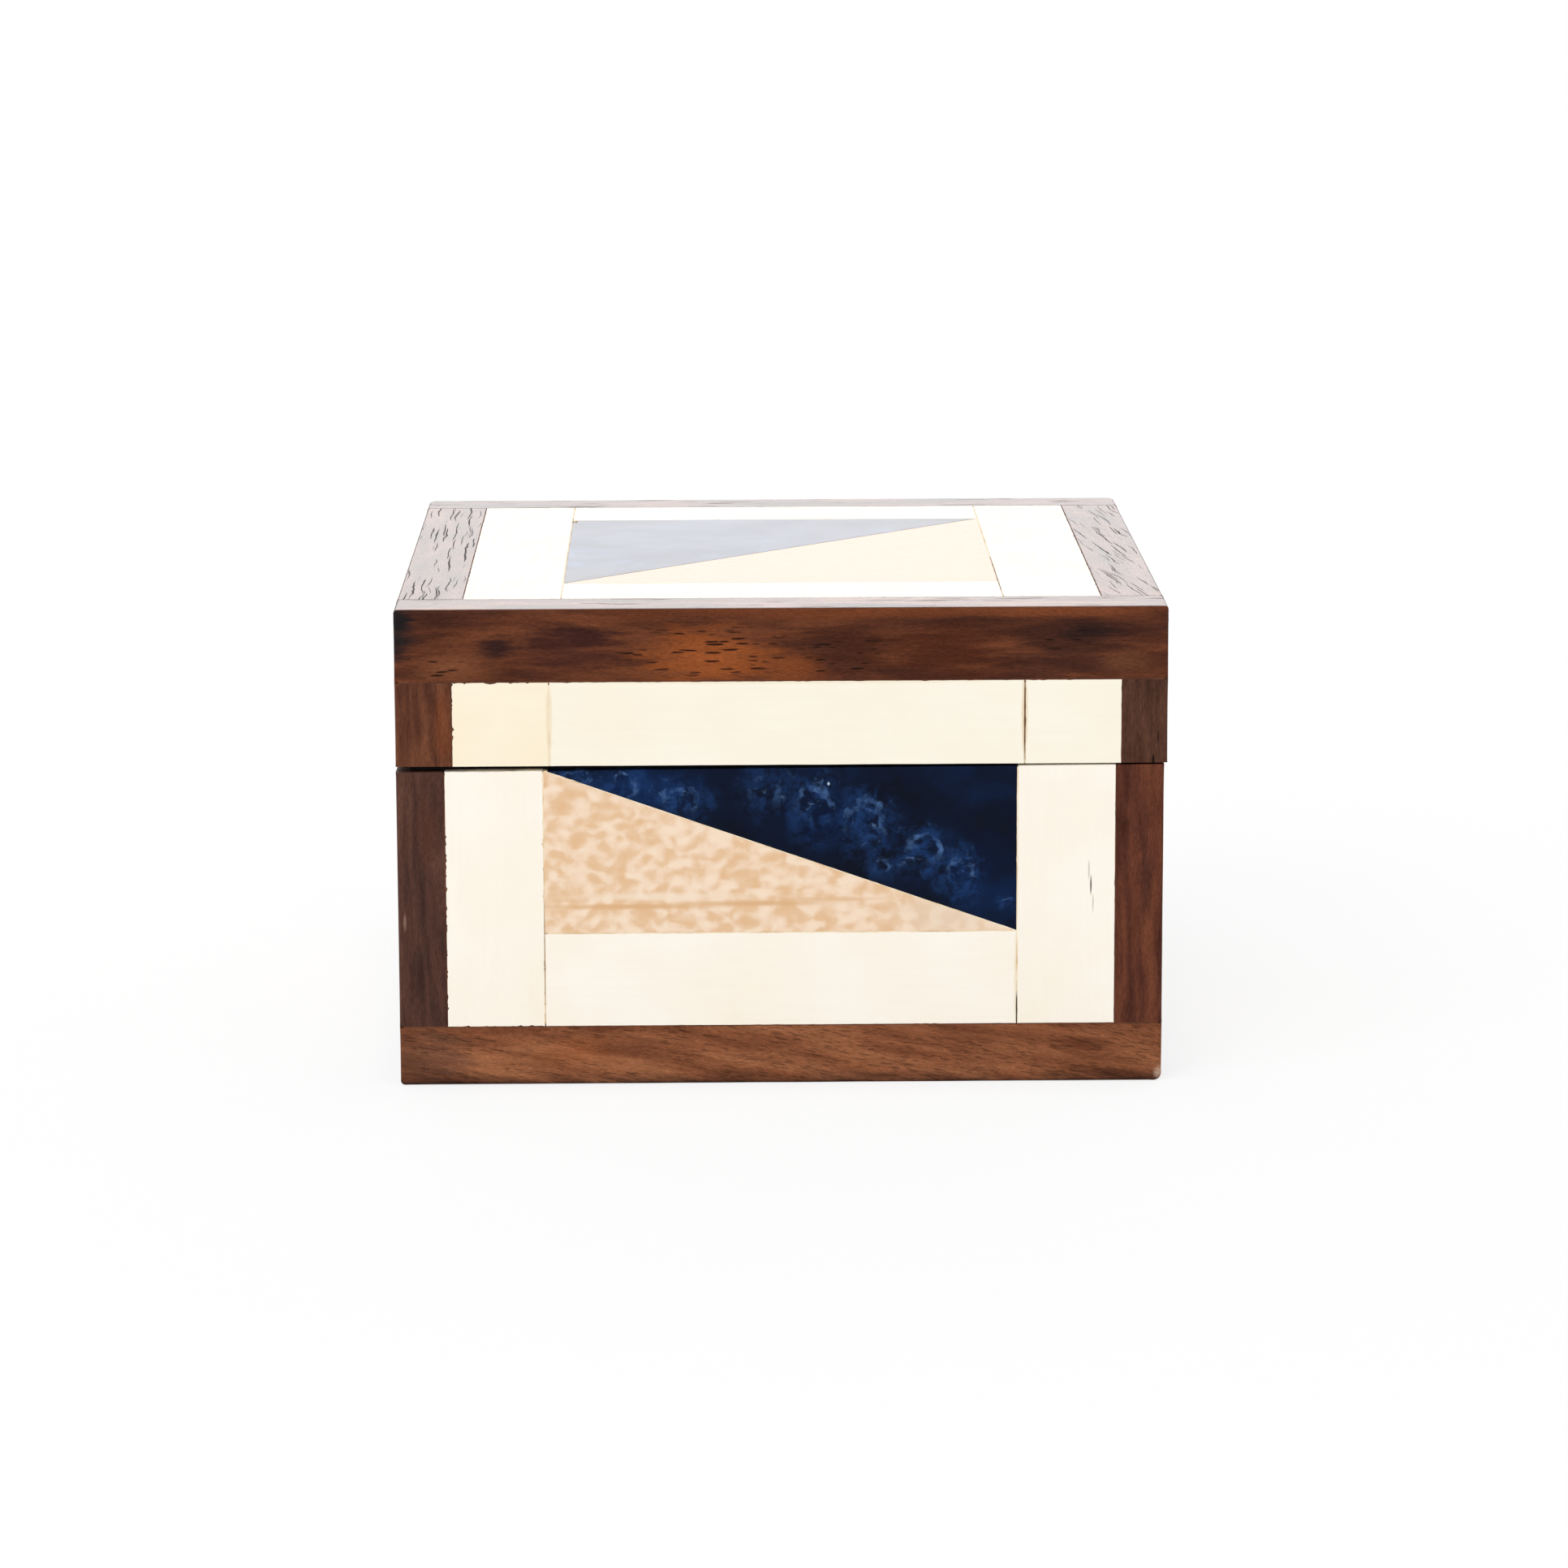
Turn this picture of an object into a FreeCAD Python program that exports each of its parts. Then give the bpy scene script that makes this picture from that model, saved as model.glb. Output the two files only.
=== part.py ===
import FreeCAD, Part
import Sketcher
import os
import re

# Inlaid wooden box with a hinged lid. A rabbeted hardwood carcass is faced all
# round with thin strips of dark wood and bone and with two-tone resin panels,
# and the lid swings on two small brass butt hinges let into the back.
# Millimetres, +Z up, front towards -Y, origin in the middle of the underside.

# Driving dimensions
SIZES = {
    # The closed box
    "box_depth": 101.6,
    "base_width": 101.2,
    "lid_overhang": 0.4,
    "base_height": 42.8,
    "lid_height": 20.9,
    "seam_gap": 0.3,
    # Carcass boards and the facing glued on them
    "board": 6.0,
    "rabbet": 3.0,
    "floor_thickness": 4.0,
    "top_thickness": 4.0,
    "panel_seat": 3.0,
    "facing": 1.8,
    "glue_line": 0.1,
    # Pattern on the four sides of the base
    "base_rail": 7.9,
    "base_stile": 6.3,
    "base_side_stile": 4.5,
    "base_bone": 13.0,
    "base_bottom_bone": 12.6,
    # Pattern on the four sides of the lid
    "lid_rail": 7.8,
    "lid_left_stile": 7.4,
    "lid_right_stile": 6.0,
    "lid_side_stile": 4.6,
    "lid_bone": 12.8,
    # Pattern on top of the lid
    "top_left_strip": 8.7,
    "top_right_strip": 8.2,
    "top_front_strip": 8.7,
    "top_back_strip": 8.0,
    "top_bone": 13.0,
    # Butt hinges
    "hinge_length": 16.0,
    "leaf_width": 6.4,
    "leaf_thickness": 1.0,
    "knuckle_radius": 1.4,
    "knuckle_gap": 0.1,
    "pin_radius": 0.7,
    "pin_clearance": 0.05,
    "notch_clearance": 0.15,
    "stop_angle": 105.0,
    # Countersunk screws
    "screw_inset": 4.2,
    "screw_spacing": 9.0,
    "screw_length": 6.0,
    "screw_radius": 0.75,
    "screw_head_radius": 1.5,
    "screw_point": 1.5,
    "slot_width": 0.4,
    "slot_depth": 0.35,
    "screw_clearance": 0.05,
}
KNUCKLES = 5

# Places worked out from the driving dimensions. The lid is flush with the base on
# the left and overhangs it on the right.
WIDTH = {"base": "base_width", "lid": "(base_width + lid_overhang)"}
MIDDLE = {"base": "0", "lid": "(lid_overhang / 2)"}
LID_BOTTOM = "(base_height + seam_gap)"
UNDER_TOP = "(base_height + seam_gap + lid_height - facing)"
LID_SIDE = "(lid_height - facing)"
PIN_Y = "(box_depth / 2 - seam_gap / 2 / tan(stop_angle / 2))"
PIN_Z = "(base_height + seam_gap / 2)"
HINGE_X = "(base_width / 2 - base_stile - base_bone)"
NOTCH_HEIGHT = "(knuckle_radius + notch_clearance - seam_gap / 2)"
NOTCH_DEPTH = f"max(facing; box_depth / 2 - {PIN_Y} + knuckle_radius + notch_clearance)"

ALONG_X = FreeCAD.Rotation(FreeCAD.Vector(0, 1, 0), 90)
HEAD_DOWN = FreeCAD.Rotation(FreeCAD.Vector(1, 0, 0), 180)

doc = FreeCAD.newDocument("inlaid_box")
sheet = doc.addObject("Spreadsheet::Sheet", "dims")
pieces = []


def fill_sheet():
    for row, (name, value) in enumerate(SIZES.items(), start=1):
        sheet.set(f"A{row}", name)
        sheet.set(f"B{row}", str(value))
        sheet.setAlias(f"B{row}", name)
    doc.recompute()


def bound(text):
    """The expression with every size name read from the sheet."""
    return re.sub(r"[a-z_]+", lambda word: ("dims." if word[0] in SIZES else "") + word[0], text)


def worked_out(text):
    return float(sheet.evalExpression(bound(text)))


def upright(angle):
    return FreeCAD.Rotation(FreeCAD.Vector(0, 0, 1), angle)


def place(item, start, rotation=None):
    """Puts an item's own origin at start, given as three expressions."""
    item.Placement = FreeCAD.Placement(FreeCAD.Vector(), rotation or upright(0))
    for axis, text in zip("xyz", start):
        item.setExpression(f"Placement.Base.{axis}", bound(text))


def block(name, start, size, rotation=None):
    """A squared strip or board: one corner, then its length, width and height."""
    item = doc.addObject("Part::Box", name)
    for edge, text in zip(("Length", "Width", "Height"), size):
        item.setExpression(edge, bound(text))
    place(item, start, rotation)
    return item


def rod(name, start, radius, length, rotation=None):
    item = doc.addObject("Part::Cylinder", name)
    item.setExpression("Radius", bound(radius))
    item.setExpression("Height", bound(length))
    place(item, start, rotation)
    return item


def joined(name, items):
    item = doc.addObject("Part::MultiFuse", name)
    item.Shapes = items
    item.Refine = True
    return item


def cut(name, stock, tools):
    item = doc.addObject("Part::Cut", name)
    item.Base = stock
    item.Tool = joined(name + "_tools", tools) if len(tools) > 1 else tools[0]
    item.Refine = True
    return item


def piece(label, *solids):
    """Keeps one physical piece, or a set of like pieces, under its own name."""
    item = solids[0]
    if len(solids) > 1:
        item = doc.addObject("Part::Compound", label)
        item.Links = solids
    item.Label = label
    pieces.append(item)
    return item


def closed_profile(sketch, corners):
    """A closed run of straight lines through corners given as pairs of expressions."""
    points = [FreeCAD.Vector(worked_out(x), worked_out(y), 0) for x, y in corners]
    for start, end in zip(points, points[1:] + points[:1]):
        sketch.addGeometry(Part.LineSegment(start, end))
    count = len(points)
    for line in range(count):
        sketch.addConstraint(Sketcher.Constraint("Coincident", line, 2, (line + 1) % count, 1))


def sketch_on(body, name, role):
    sketch = body.newObject("Sketcher::SketchObject", name)
    plane = next(item for item in body.Origin.OriginFeatures if item.Role == role)
    sketch.AttachmentSupport = [(plane, "")]
    sketch.MapMode = "FlatFace"
    return sketch


def drive(sketch, kind, where, text):
    """Adds a size to a sketch and ties it to an expression."""
    index = sketch.addConstraint(Sketcher.Constraint(kind, *where, worked_out(text)))
    sketch.setExpression(f"Constraints[{index}]", bound(text))


def resin_triangle(name, plane, panel, signs, start, rotation=None, reverse=False):
    """Half of a panel split along its diagonal: a right triangle as thick as the
    facing, its square corner at start, set back half a glue line from the diagonal."""
    width, height = panel
    diagonal = f"sqrt({width}^2 + {height}^2)"
    run = f"({width} - glue_line / 2 * {diagonal} / {height})"
    rise = f"({height} - glue_line / 2 * {diagonal} / {width})"
    across, up = signs
    body = doc.addObject("PartDesign::Body", name)
    sketch = sketch_on(body, name + "_outline", plane)
    closed_profile(sketch, [("0", "0"), (f"{across} * {run}", "0"), ("0", f"{up} * {rise}")])
    sketch.addConstraint(Sketcher.Constraint("Coincident", 0, 1, -1, 1))
    sketch.addConstraint(Sketcher.Constraint("Horizontal", 0))
    sketch.addConstraint(Sketcher.Constraint("Vertical", 2))
    drive(sketch, "Distance", (0,), run)
    drive(sketch, "Distance", (2,), rise)
    pad = body.newObject("PartDesign::Pad", name + "_slab")
    pad.Profile = sketch
    pad.setExpression("Length", bound("facing"))
    pad.Reversed = reverse
    place(body, start, rotation)
    return body


# Carcass


def carcass(part, bottom, height, panel, panel_bottom, panel_thickness):
    """Four boards rabbeted at the corners round a floor or top panel, which sits
    in a rebate. Returns the back board's stock and the tools that shape it."""
    middle = MIDDLE[part]
    half_width = f"({WIDTH[part]} / 2 - facing)"
    half_depth = "(box_depth / 2 - facing)"
    inner_width = f"({half_width} - board + panel_seat)"
    inner_depth = f"({half_depth} - board + panel_seat)"
    panel_piece = block(panel, (f"{middle} - {inner_width}", f"-{inner_depth}", panel_bottom),
                        (f"2 * {inner_width}", f"2 * {inner_depth}", panel_thickness))
    piece(panel, panel_piece)
    sides = []
    for side, left_face in (("left", f"{middle} - {half_width}"),
                            ("right", f"{middle} + {half_width} - board")):
        length = f"2 * ({half_depth} - board + rabbet)"
        stock = block(f"{part}_{side}_stock", (left_face, f"board - rabbet - {half_depth}", bottom),
                      ("board", length, height))
        sides.append(stock)
        piece(f"{part}_{side}_board", cut(f"{part}_{side}_board", stock, [panel_piece]))
    front_and_back = []
    for near_face in (f"-{half_depth}", f"{half_depth} - board"):
        front_and_back.append(block(f"{part}_long_stock", (f"{middle} - {half_width}", near_face, bottom),
                                    (f"2 * {half_width}", "board", height)))
    front, back = front_and_back
    tools = sides + [panel_piece]
    piece(f"{part}_front_board", cut(f"{part}_front_board", front, tools))
    return back, tools


# Facing strips


TURN = {"front": 0, "right": 90, "back": 180, "left": 270}


class Side:
    """One side of the base or the lid. Places on it run along from its left end,
    as seen from outside, and up from its lower edge."""

    def __init__(self, part, face):
        self.name = f"{part}_{face}"
        self.turn = upright(TURN[face])
        self.bottom = "0" if part == "base" else LID_BOTTOM
        self.face = face
        self.left_edge = f"{MIDDLE[part]} - {WIDTH[part]} / 2"
        self.right_edge = f"{MIDDLE[part]} + {WIDTH[part]} / 2"
        long_face = face in ("front", "back")
        self.run = WIDTH[part] if long_face else "(box_depth - 2 * facing)"

    def at(self, along, up):
        x, y = {
            "front": (f"{self.left_edge} + {along}", "-box_depth / 2"),
            "right": (self.right_edge, f"facing - box_depth / 2 + {along}"),
            "back": (f"{self.right_edge} - ({along})", "box_depth / 2"),
            "left": (self.left_edge, f"box_depth / 2 - facing - ({along})"),
        }[self.face]
        return x, y, f"{self.bottom} + {up}"

    def strip(self, name, along, up):
        size = (f"{along[1]} - ({along[0]})", "facing", f"{up[1]} - ({up[0]})")
        return block(f"{self.name}_{name}", self.at(along[0], up[0]), size, self.turn)


def columns(side, left_stile, right_stile, bone):
    """Ends of the five columns of strips across a side, a glue line apart."""
    left_joint = f"({left_stile} + {bone})"
    right_joint = f"({side.run} - {right_stile} - {bone})"
    return {
        "left_stile": ("0", left_stile),
        "left_bone": (f"({left_stile} + glue_line)", left_joint),
        "middle": (f"({left_joint} + glue_line)", f"({right_joint} - glue_line)"),
        "right_bone": (right_joint, f"({side.run} - {right_stile} - glue_line)"),
        "right_stile": (f"({side.run} - {right_stile})", side.run),
    }


def base_side(face, notches):
    side = Side("base", face)
    stile = "base_stile" if face in ("front", "back") else "base_side_stile"
    column = columns(side, stile, stile, "base_bone")
    above_rail = ("(base_rail + glue_line)", "base_height")
    panel_bottom = "(base_rail + base_bottom_bone + glue_line)"
    rail = side.strip("rail", ("0", side.run), ("0", "base_rail"))
    stiles = [side.strip(name, column[name], above_rail) for name in ("left_stile", "right_stile")]
    bones = [side.strip(name, column[name], above_rail) for name in ("left_bone", "right_bone")]
    bottom_bone = side.strip("bottom_bone", column["middle"],
                             (above_rail[0], "(base_rail + base_bottom_bone)"))
    left, right = column["middle"]
    panel = (f"({right} - {left})", f"(base_height - {panel_bottom})")
    blue = resin_triangle(f"{side.name}_blue", "XZ_Plane", panel, (-1, -1),
                          side.at(right, "base_height"), side.turn, reverse=True)
    cream = resin_triangle(f"{side.name}_cream", "XZ_Plane", panel, (1, 1),
                           side.at(left, panel_bottom), side.turn, reverse=True)
    if notches:
        bones = [cut(bone.Name + "_notched", bone, notches) for bone in bones]
        blue = cut(side.name + "_blue_notched", blue, notches)
        cream = cut(side.name + "_cream_notched", cream, notches)
    if face == "front":
        piece("base_front_rail", rail)
        for name, stile_strip, bone in zip(("left", "right"), stiles, bones):
            piece(f"base_front_{name}_stile", stile_strip)
            piece(f"base_front_{name}_bone", bone)
        piece("base_front_bottom_bone", bottom_bone)
    else:
        piece(f"{side.name}_wood_strips", rail, *stiles)
        piece(f"{side.name}_bone_strips", bottom_bone, *bones)
    piece(f"{side.name}_blue_resin", blue)
    piece(f"{side.name}_cream_resin", cream)


LID_STILES = {
    "front": ("lid_left_stile", "lid_right_stile"),
    "right": ("lid_side_stile", "lid_side_stile"),
    "back": ("lid_right_stile", "lid_left_stile"),
    "left": ("lid_side_stile", "lid_side_stile"),
}


def lid_side(face, notches):
    side = Side("lid", face)
    column = columns(side, *LID_STILES[face], "lid_bone")
    below_rail = ("0", f"({LID_SIDE} - lid_rail - glue_line)")
    rail = side.strip("rail", ("0", side.run), (f"({LID_SIDE} - lid_rail)", LID_SIDE))
    stiles = [side.strip(name, column[name], below_rail) for name in ("left_stile", "right_stile")]
    bones = [side.strip(name, column[name], below_rail) for name in ("left_bone", "middle", "right_bone")]
    if notches:
        bones = [cut(bone.Name + "_notched", bone, notches) for bone in bones]
    if face == "front":
        piece("lid_front_rail", rail)
        for name, strip in zip(("left_stile", "right_stile"), stiles):
            piece(f"lid_front_{name}", strip)
        for name, strip in zip(("left_bone", "middle_bone", "right_bone"), bones):
            piece(f"lid_front_{name}", strip)
    else:
        piece(f"{side.name}_wood_strips", rail, *stiles)
        piece(f"{side.name}_bone_strips", *bones)


def lid_top():
    """Facing on top: wood frame, bone frame inside it, and the split resin square."""
    width = WIDTH["lid"]
    left = ("0", "top_left_strip")
    left_bone = ("(top_left_strip + glue_line)", "(top_left_strip + top_bone)")
    middle = ("(top_left_strip + top_bone + glue_line)",
              f"({width} - top_right_strip - top_bone - glue_line)")
    right_bone = (f"({width} - top_right_strip - top_bone)", f"({width} - top_right_strip - glue_line)")
    right = (f"({width} - top_right_strip)", width)
    front = ("0", "top_front_strip")
    front_bone = ("(top_front_strip + glue_line)", "(top_front_strip + top_bone)")
    centre = ("(top_front_strip + top_bone + glue_line)",
              "(box_depth - top_back_strip - top_bone - glue_line)")
    back_bone = ("(box_depth - top_back_strip - top_bone)", "(box_depth - top_back_strip - glue_line)")
    back = ("(box_depth - top_back_strip)", "box_depth")
    whole_width = ("0", width)
    between_rails = (front_bone[0], back_bone[1])

    def spot(across, deep):
        return f"{MIDDLE['lid']} - {width} / 2 + {across}", f"{deep} - box_depth / 2", UNDER_TOP

    layout = {
        "top_front_rail": (whole_width, front),
        "top_back_rail": (whole_width, back),
        "top_left_stile": (left, between_rails),
        "top_right_stile": (right, between_rails),
        "top_left_bone": (left_bone, between_rails),
        "top_right_bone": (right_bone, between_rails),
        "top_front_bone": (middle, front_bone),
        "top_back_bone": (middle, back_bone),
    }
    for label, (across, deep) in layout.items():
        size = (f"{across[1]} - {across[0]}", f"{deep[1]} - {deep[0]}", "facing")
        piece(label, block(label, spot(across[0], deep[0]), size))
    panel = (f"({middle[1]} - {middle[0]})", f"({centre[1]} - {centre[0]})")
    blue = resin_triangle("top_blue", "XY_Plane", panel, (1, -1), spot(middle[0], centre[1]))
    cream = resin_triangle("top_cream", "XY_Plane", panel, (-1, 1), spot(middle[1], centre[0]))
    piece("top_blue_resin", blue)
    piece("top_cream_resin", cream)


# Hinges


def screw(name, start, rotation):
    """Slotted countersunk screw, head face at its own origin, point downwards."""
    head_depth = "(screw_head_radius - screw_radius)"
    body = doc.addObject("PartDesign::Body", name)
    profile = sketch_on(body, name + "_profile", "XZ_Plane")
    closed_profile(profile, [("0", "0"), ("screw_head_radius", "0"), ("screw_radius", f"-{head_depth}"),
                             ("screw_radius", "screw_point - screw_length"), ("0", "-screw_length")])
    profile.addConstraint(Sketcher.Constraint("Coincident", 0, 1, -1, 1))
    profile.addConstraint(Sketcher.Constraint("Horizontal", 0))
    profile.addConstraint(Sketcher.Constraint("Vertical", 2))
    profile.addConstraint(Sketcher.Constraint("Vertical", 4))
    drive(profile, "Distance", (0,), "screw_head_radius")
    drive(profile, "DistanceX", (-1, 1, 1, 2), "screw_radius")
    drive(profile, "DistanceY", (1, 2, -1, 1), head_depth)
    drive(profile, "Distance", (4,), "screw_length")
    drive(profile, "DistanceY", (3, 2, 2, 2), "screw_point")
    turned = body.newObject("PartDesign::Revolution", name + "_turned")
    turned.Profile = profile
    turned.ReferenceAxis = (profile, ["V_Axis"])
    slot = sketch_on(body, name + "_slot_outline", "XY_Plane")
    near, far = "-slot_width / 2", "slot_width / 2"
    left, right = "-screw_head_radius", "screw_head_radius"
    closed_profile(slot, [(left, near), (right, near), (right, far), (left, far)])
    for line, direction in enumerate(("Horizontal", "Vertical", "Horizontal", "Vertical")):
        slot.addConstraint(Sketcher.Constraint(direction, line))
    slot.addConstraint(Sketcher.Constraint("Symmetric", 0, 1, 2, 1, -1, 1))
    drive(slot, "Distance", (0,), "2 * screw_head_radius")
    drive(slot, "Distance", (1,), "slot_width")
    pocket = body.newObject("PartDesign::Pocket", name + "_slot")
    pocket.Profile = slot
    pocket.setExpression("Length", bound("slot_depth"))
    place(body, start, rotation)
    return body


class HingeHalf:
    """What one leaf of one hinge takes: its plate, its screws and its recesses."""

    def __init__(self, part, side):
        self.part = part
        self.side = side
        self.name = f"{side}_hinge_{part}"
        self.x = HINGE_X if side == "right" else f"(-{HINGE_X})"
        on_base = part == "base"
        self.face = "base_height" if on_base else LID_BOTTOM
        self.low = "(base_height - leaf_thickness)" if on_base else LID_BOTTOM
        self.left = f"{self.x} - hinge_length / 2"
        self.rotation = upright(0) if on_base else HEAD_DOWN
        self.own_knuckles = range(0 if on_base else 1, KNUCKLES, 2)
        self.plate = block(self.name + "_plate", (self.left, f"{PIN_Y} - leaf_width", self.low),
                           ("hinge_length", "leaf_width - knuckle_radius - knuckle_gap", "leaf_thickness"))
        notch_low = f"base_height - {NOTCH_HEIGHT}" if on_base else LID_BOTTOM
        self.notch = block(self.name + "_notch",
                           (f"{self.left} - notch_clearance", f"box_depth / 2 - {NOTCH_DEPTH}", notch_low),
                           ("hinge_length + 2 * notch_clearance", NOTCH_DEPTH, NOTCH_HEIGHT))
        self.holes = [self.screw_hole(hand) for hand in ("-", "+")]

    def screw_spot(self, hand):
        return f"{self.x} {hand} screw_spacing / 2", "box_depth / 2 - screw_inset", self.face

    def screw_hole(self, hand):
        x, y, _ = self.screw_spot(hand)
        deep = "screw_length + screw_clearance"
        low = f"base_height - ({deep})" if self.part == "base" else LID_BOTTOM
        return rod(self.name + "_hole", (x, y, low), "screw_radius + screw_clearance", deep)

    def countersink(self, hand):
        item = doc.addObject("Part::Cone", self.name + "_countersink")
        item.setExpression("Radius1", bound("screw_head_radius + screw_clearance"))
        item.setExpression("Radius2", bound("screw_radius + screw_clearance"))
        item.setExpression("Height", bound("screw_head_radius - screw_radius"))
        down = HEAD_DOWN if self.part == "base" else upright(0)
        place(item, self.screw_spot(hand), down)
        return item

    def leaf(self):
        pitch = f"(hinge_length + knuckle_gap) / {KNUCKLES}"
        solids = [self.plate]
        for index in self.own_knuckles:
            left = f"{self.left} + {index} * {pitch}"
            long = f"{pitch} - knuckle_gap"
            solids.append(rod(self.name + "_knuckle", (left, PIN_Y, PIN_Z), "knuckle_radius", long, ALONG_X))
            reach = "knuckle_radius + knuckle_gap"
            solids.append(block(self.name + "_web", (left, f"{PIN_Y} - ({reach})", self.low),
                                (long, reach, "leaf_thickness")))
        bore = rod(self.name + "_bore", (self.left, PIN_Y, PIN_Z), "pin_radius + pin_clearance",
                   "hinge_length", ALONG_X)
        tools = [bore] + self.holes + [self.countersink(hand) for hand in ("-", "+")]
        piece(f"{self.name}_leaf", cut(f"{self.name}_leaf", joined(self.name + "_blank", solids), tools))

    def screws(self):
        return [screw(f"{self.name}_screw", self.screw_spot(hand), self.rotation) for hand in ("-", "+")]


def back_board(part, stock, tools, halves):
    """Back board with a mortise for each leaf, room for its knuckles and pilot holes
    for its screws."""
    mortises = [block(half.name + "_mortise", (half.left, f"{PIN_Y} - leaf_width", half.low),
                      ("hinge_length", f"box_depth / 2 - facing - {PIN_Y} + leaf_width", "leaf_thickness"))
                for half in halves]
    holes = [hole for half in halves for hole in half.holes]
    notches = [half.notch for half in halves]
    piece(f"{part}_back_board", cut(f"{part}_back_board", stock, tools + mortises + notches + holes))


def build():
    halves = {part: [HingeHalf(part, side) for side in ("left", "right")] for part in ("base", "lid")}
    notches = {part: [half.notch for half in pair] for part, pair in halves.items()}
    base_back, base_tools = carcass("base", "0", "base_height", "base_floor", "0", "floor_thickness")
    lid_back, lid_tools = carcass("lid", LID_BOTTOM, LID_SIDE, "lid_top_panel",
                                  f"{UNDER_TOP} - top_thickness", "top_thickness")
    back_board("base", base_back, base_tools, halves["base"])
    back_board("lid", lid_back, lid_tools, halves["lid"])
    for face in TURN:
        base_side(face, notches["base"] if face == "back" else [])
        lid_side(face, notches["lid"] if face == "back" else [])
    lid_top()
    for part, pair in halves.items():
        for half in pair:
            half.leaf()
        piece(f"{part}_hinge_screws", *[item for half in pair for item in half.screws()])
    pins = [rod(half.side + "_pin", (half.left, PIN_Y, PIN_Z), "pin_radius", "hinge_length", ALONG_X)
            for half in halves["base"]]
    piece("hinge_pins", *pins)


def check_and_write():
    doc.recompute()
    for item in doc.Objects:
        if "Invalid" in item.State or "Error" in item.State:
            raise RuntimeError(f"{item.Label} failed: {item.State}")
    for item in pieces:
        if item.Shape.isNull() or not item.Shape.isValid():
            raise RuntimeError(f"{item.Label} has no valid shape")
    os.makedirs("parts", exist_ok=True)
    for item in pieces:
        item.Shape.exportStep(f"parts/{item.Label}.step")
    print(len(pieces), "pieces written")


fill_sheet()
build()
check_and_write()
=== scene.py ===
import math
from collections import namedtuple

import bmesh
import bpy
from mathutils import Matrix, Vector
from mathutils import noise as chance


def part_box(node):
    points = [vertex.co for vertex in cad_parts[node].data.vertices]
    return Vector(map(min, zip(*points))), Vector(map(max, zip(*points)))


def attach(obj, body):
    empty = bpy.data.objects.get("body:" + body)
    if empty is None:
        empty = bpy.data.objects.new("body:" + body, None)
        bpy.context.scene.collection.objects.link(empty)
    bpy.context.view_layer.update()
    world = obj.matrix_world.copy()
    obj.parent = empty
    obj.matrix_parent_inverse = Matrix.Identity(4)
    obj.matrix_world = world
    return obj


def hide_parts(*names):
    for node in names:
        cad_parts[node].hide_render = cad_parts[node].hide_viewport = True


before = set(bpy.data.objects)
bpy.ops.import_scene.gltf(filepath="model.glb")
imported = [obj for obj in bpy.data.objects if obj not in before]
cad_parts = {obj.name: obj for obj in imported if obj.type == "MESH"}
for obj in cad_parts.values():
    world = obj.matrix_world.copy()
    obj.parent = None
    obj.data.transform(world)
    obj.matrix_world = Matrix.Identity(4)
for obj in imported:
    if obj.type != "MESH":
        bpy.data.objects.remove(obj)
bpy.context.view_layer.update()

# Lengths and places are in millimetres, and MM turns them into Blender's metres.
MM = 0.001
SAME_PLACE = 1e-4

# Edges of the facing strips: how far each kind is rounded off, and the angle (radians) that still looks
# smooth.
WIDEST_EASE = 1.5
OUTER = 0.5
SEAM_EASE = 0.08
JOINT_EASE = 0.04
FLUSH = 0.01
SMOOTH_ANGLE = 0.5

# Corners of the facing strips: their radius, or its share of the ease beside them, the height of the
# foot, and the product of two ways that run straight on, without a corner.
CORNER_SHARE = 1.15
BACK_CORNER = 1.1
FOOT_CORNER = 1.0
FOOT_HEIGHT = 1.0
STRAIGHT_ON = -0.8

# Wear along the edges: the steps between points, the wave of every edge, how fine the wear is, the depth
# of the chips, and the corner broken out of the top's blue panel.
WEAR_STEP = 0.6
CHIP_STEP = 0.25
DEEP_CHIPS = 0.2
EDGE_WAVE = 0.03
SLOW_WEAR, COARSE_WEAR, FINE_WEAR = 0.23, 1.35, 3.1
WOOD_CHIPS = 0.05
BASE_CHIPS = {"left_bone": 0.34, "right_bone": 0.1, "bottom_bone": 0.1, "blue": 0.1, "cream": 0.06}
LID_CHIPS = {"left_bone": 0.5, "middle_bone": 0.16, "right_bone": 0.18}
TOP_CHIPS = {"bone": 0.3, "blue": 0.3, "cream": 0.1}
TOP_NOTCH = (0.6, 2.4)
TOP_NOTCH_FOOT = 0.8

# The joints: glue just below the faces and under the edges, room round the hinges, gaps of shrunken
# strips, the resin's split and blunt tips, how far the base's rim stands above its drawn height at the
# front's two ends, and the reach of the cut that keeps glue below that rim.
GLUE_SUNK = 0.02
UPRIGHT_SUNK = 0.6
GLUE_REACH = 0.4
GLUE_DEPTH = 1.4
GLUE_SLACK = 0.02
SHORTEST_GLUE = 1.0
NOTCH_ROOM = 0.15
BASE_GAP = 0.04
LID_GAP = 0.06
SPLIT_ACROSS, SPLIT_UP = 0.15, 0.05
BLUNT_TIP = 0.14
RIM_LEFT, RIM_RIGHT = -0.42, 0.12
RIM_CUT = (1.0, 4.0)

# Materials: the way from one seed's pattern to the next, and how deep patches and the boards' painted-shade
# skin go.
SEED_STEP = (31.7, 17.3, 7.9)
PATCH_DEPTH = 9.0
BOARD_SHADE_SKIN = 0.15
WHITE = (1, 1, 1, 1)

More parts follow.
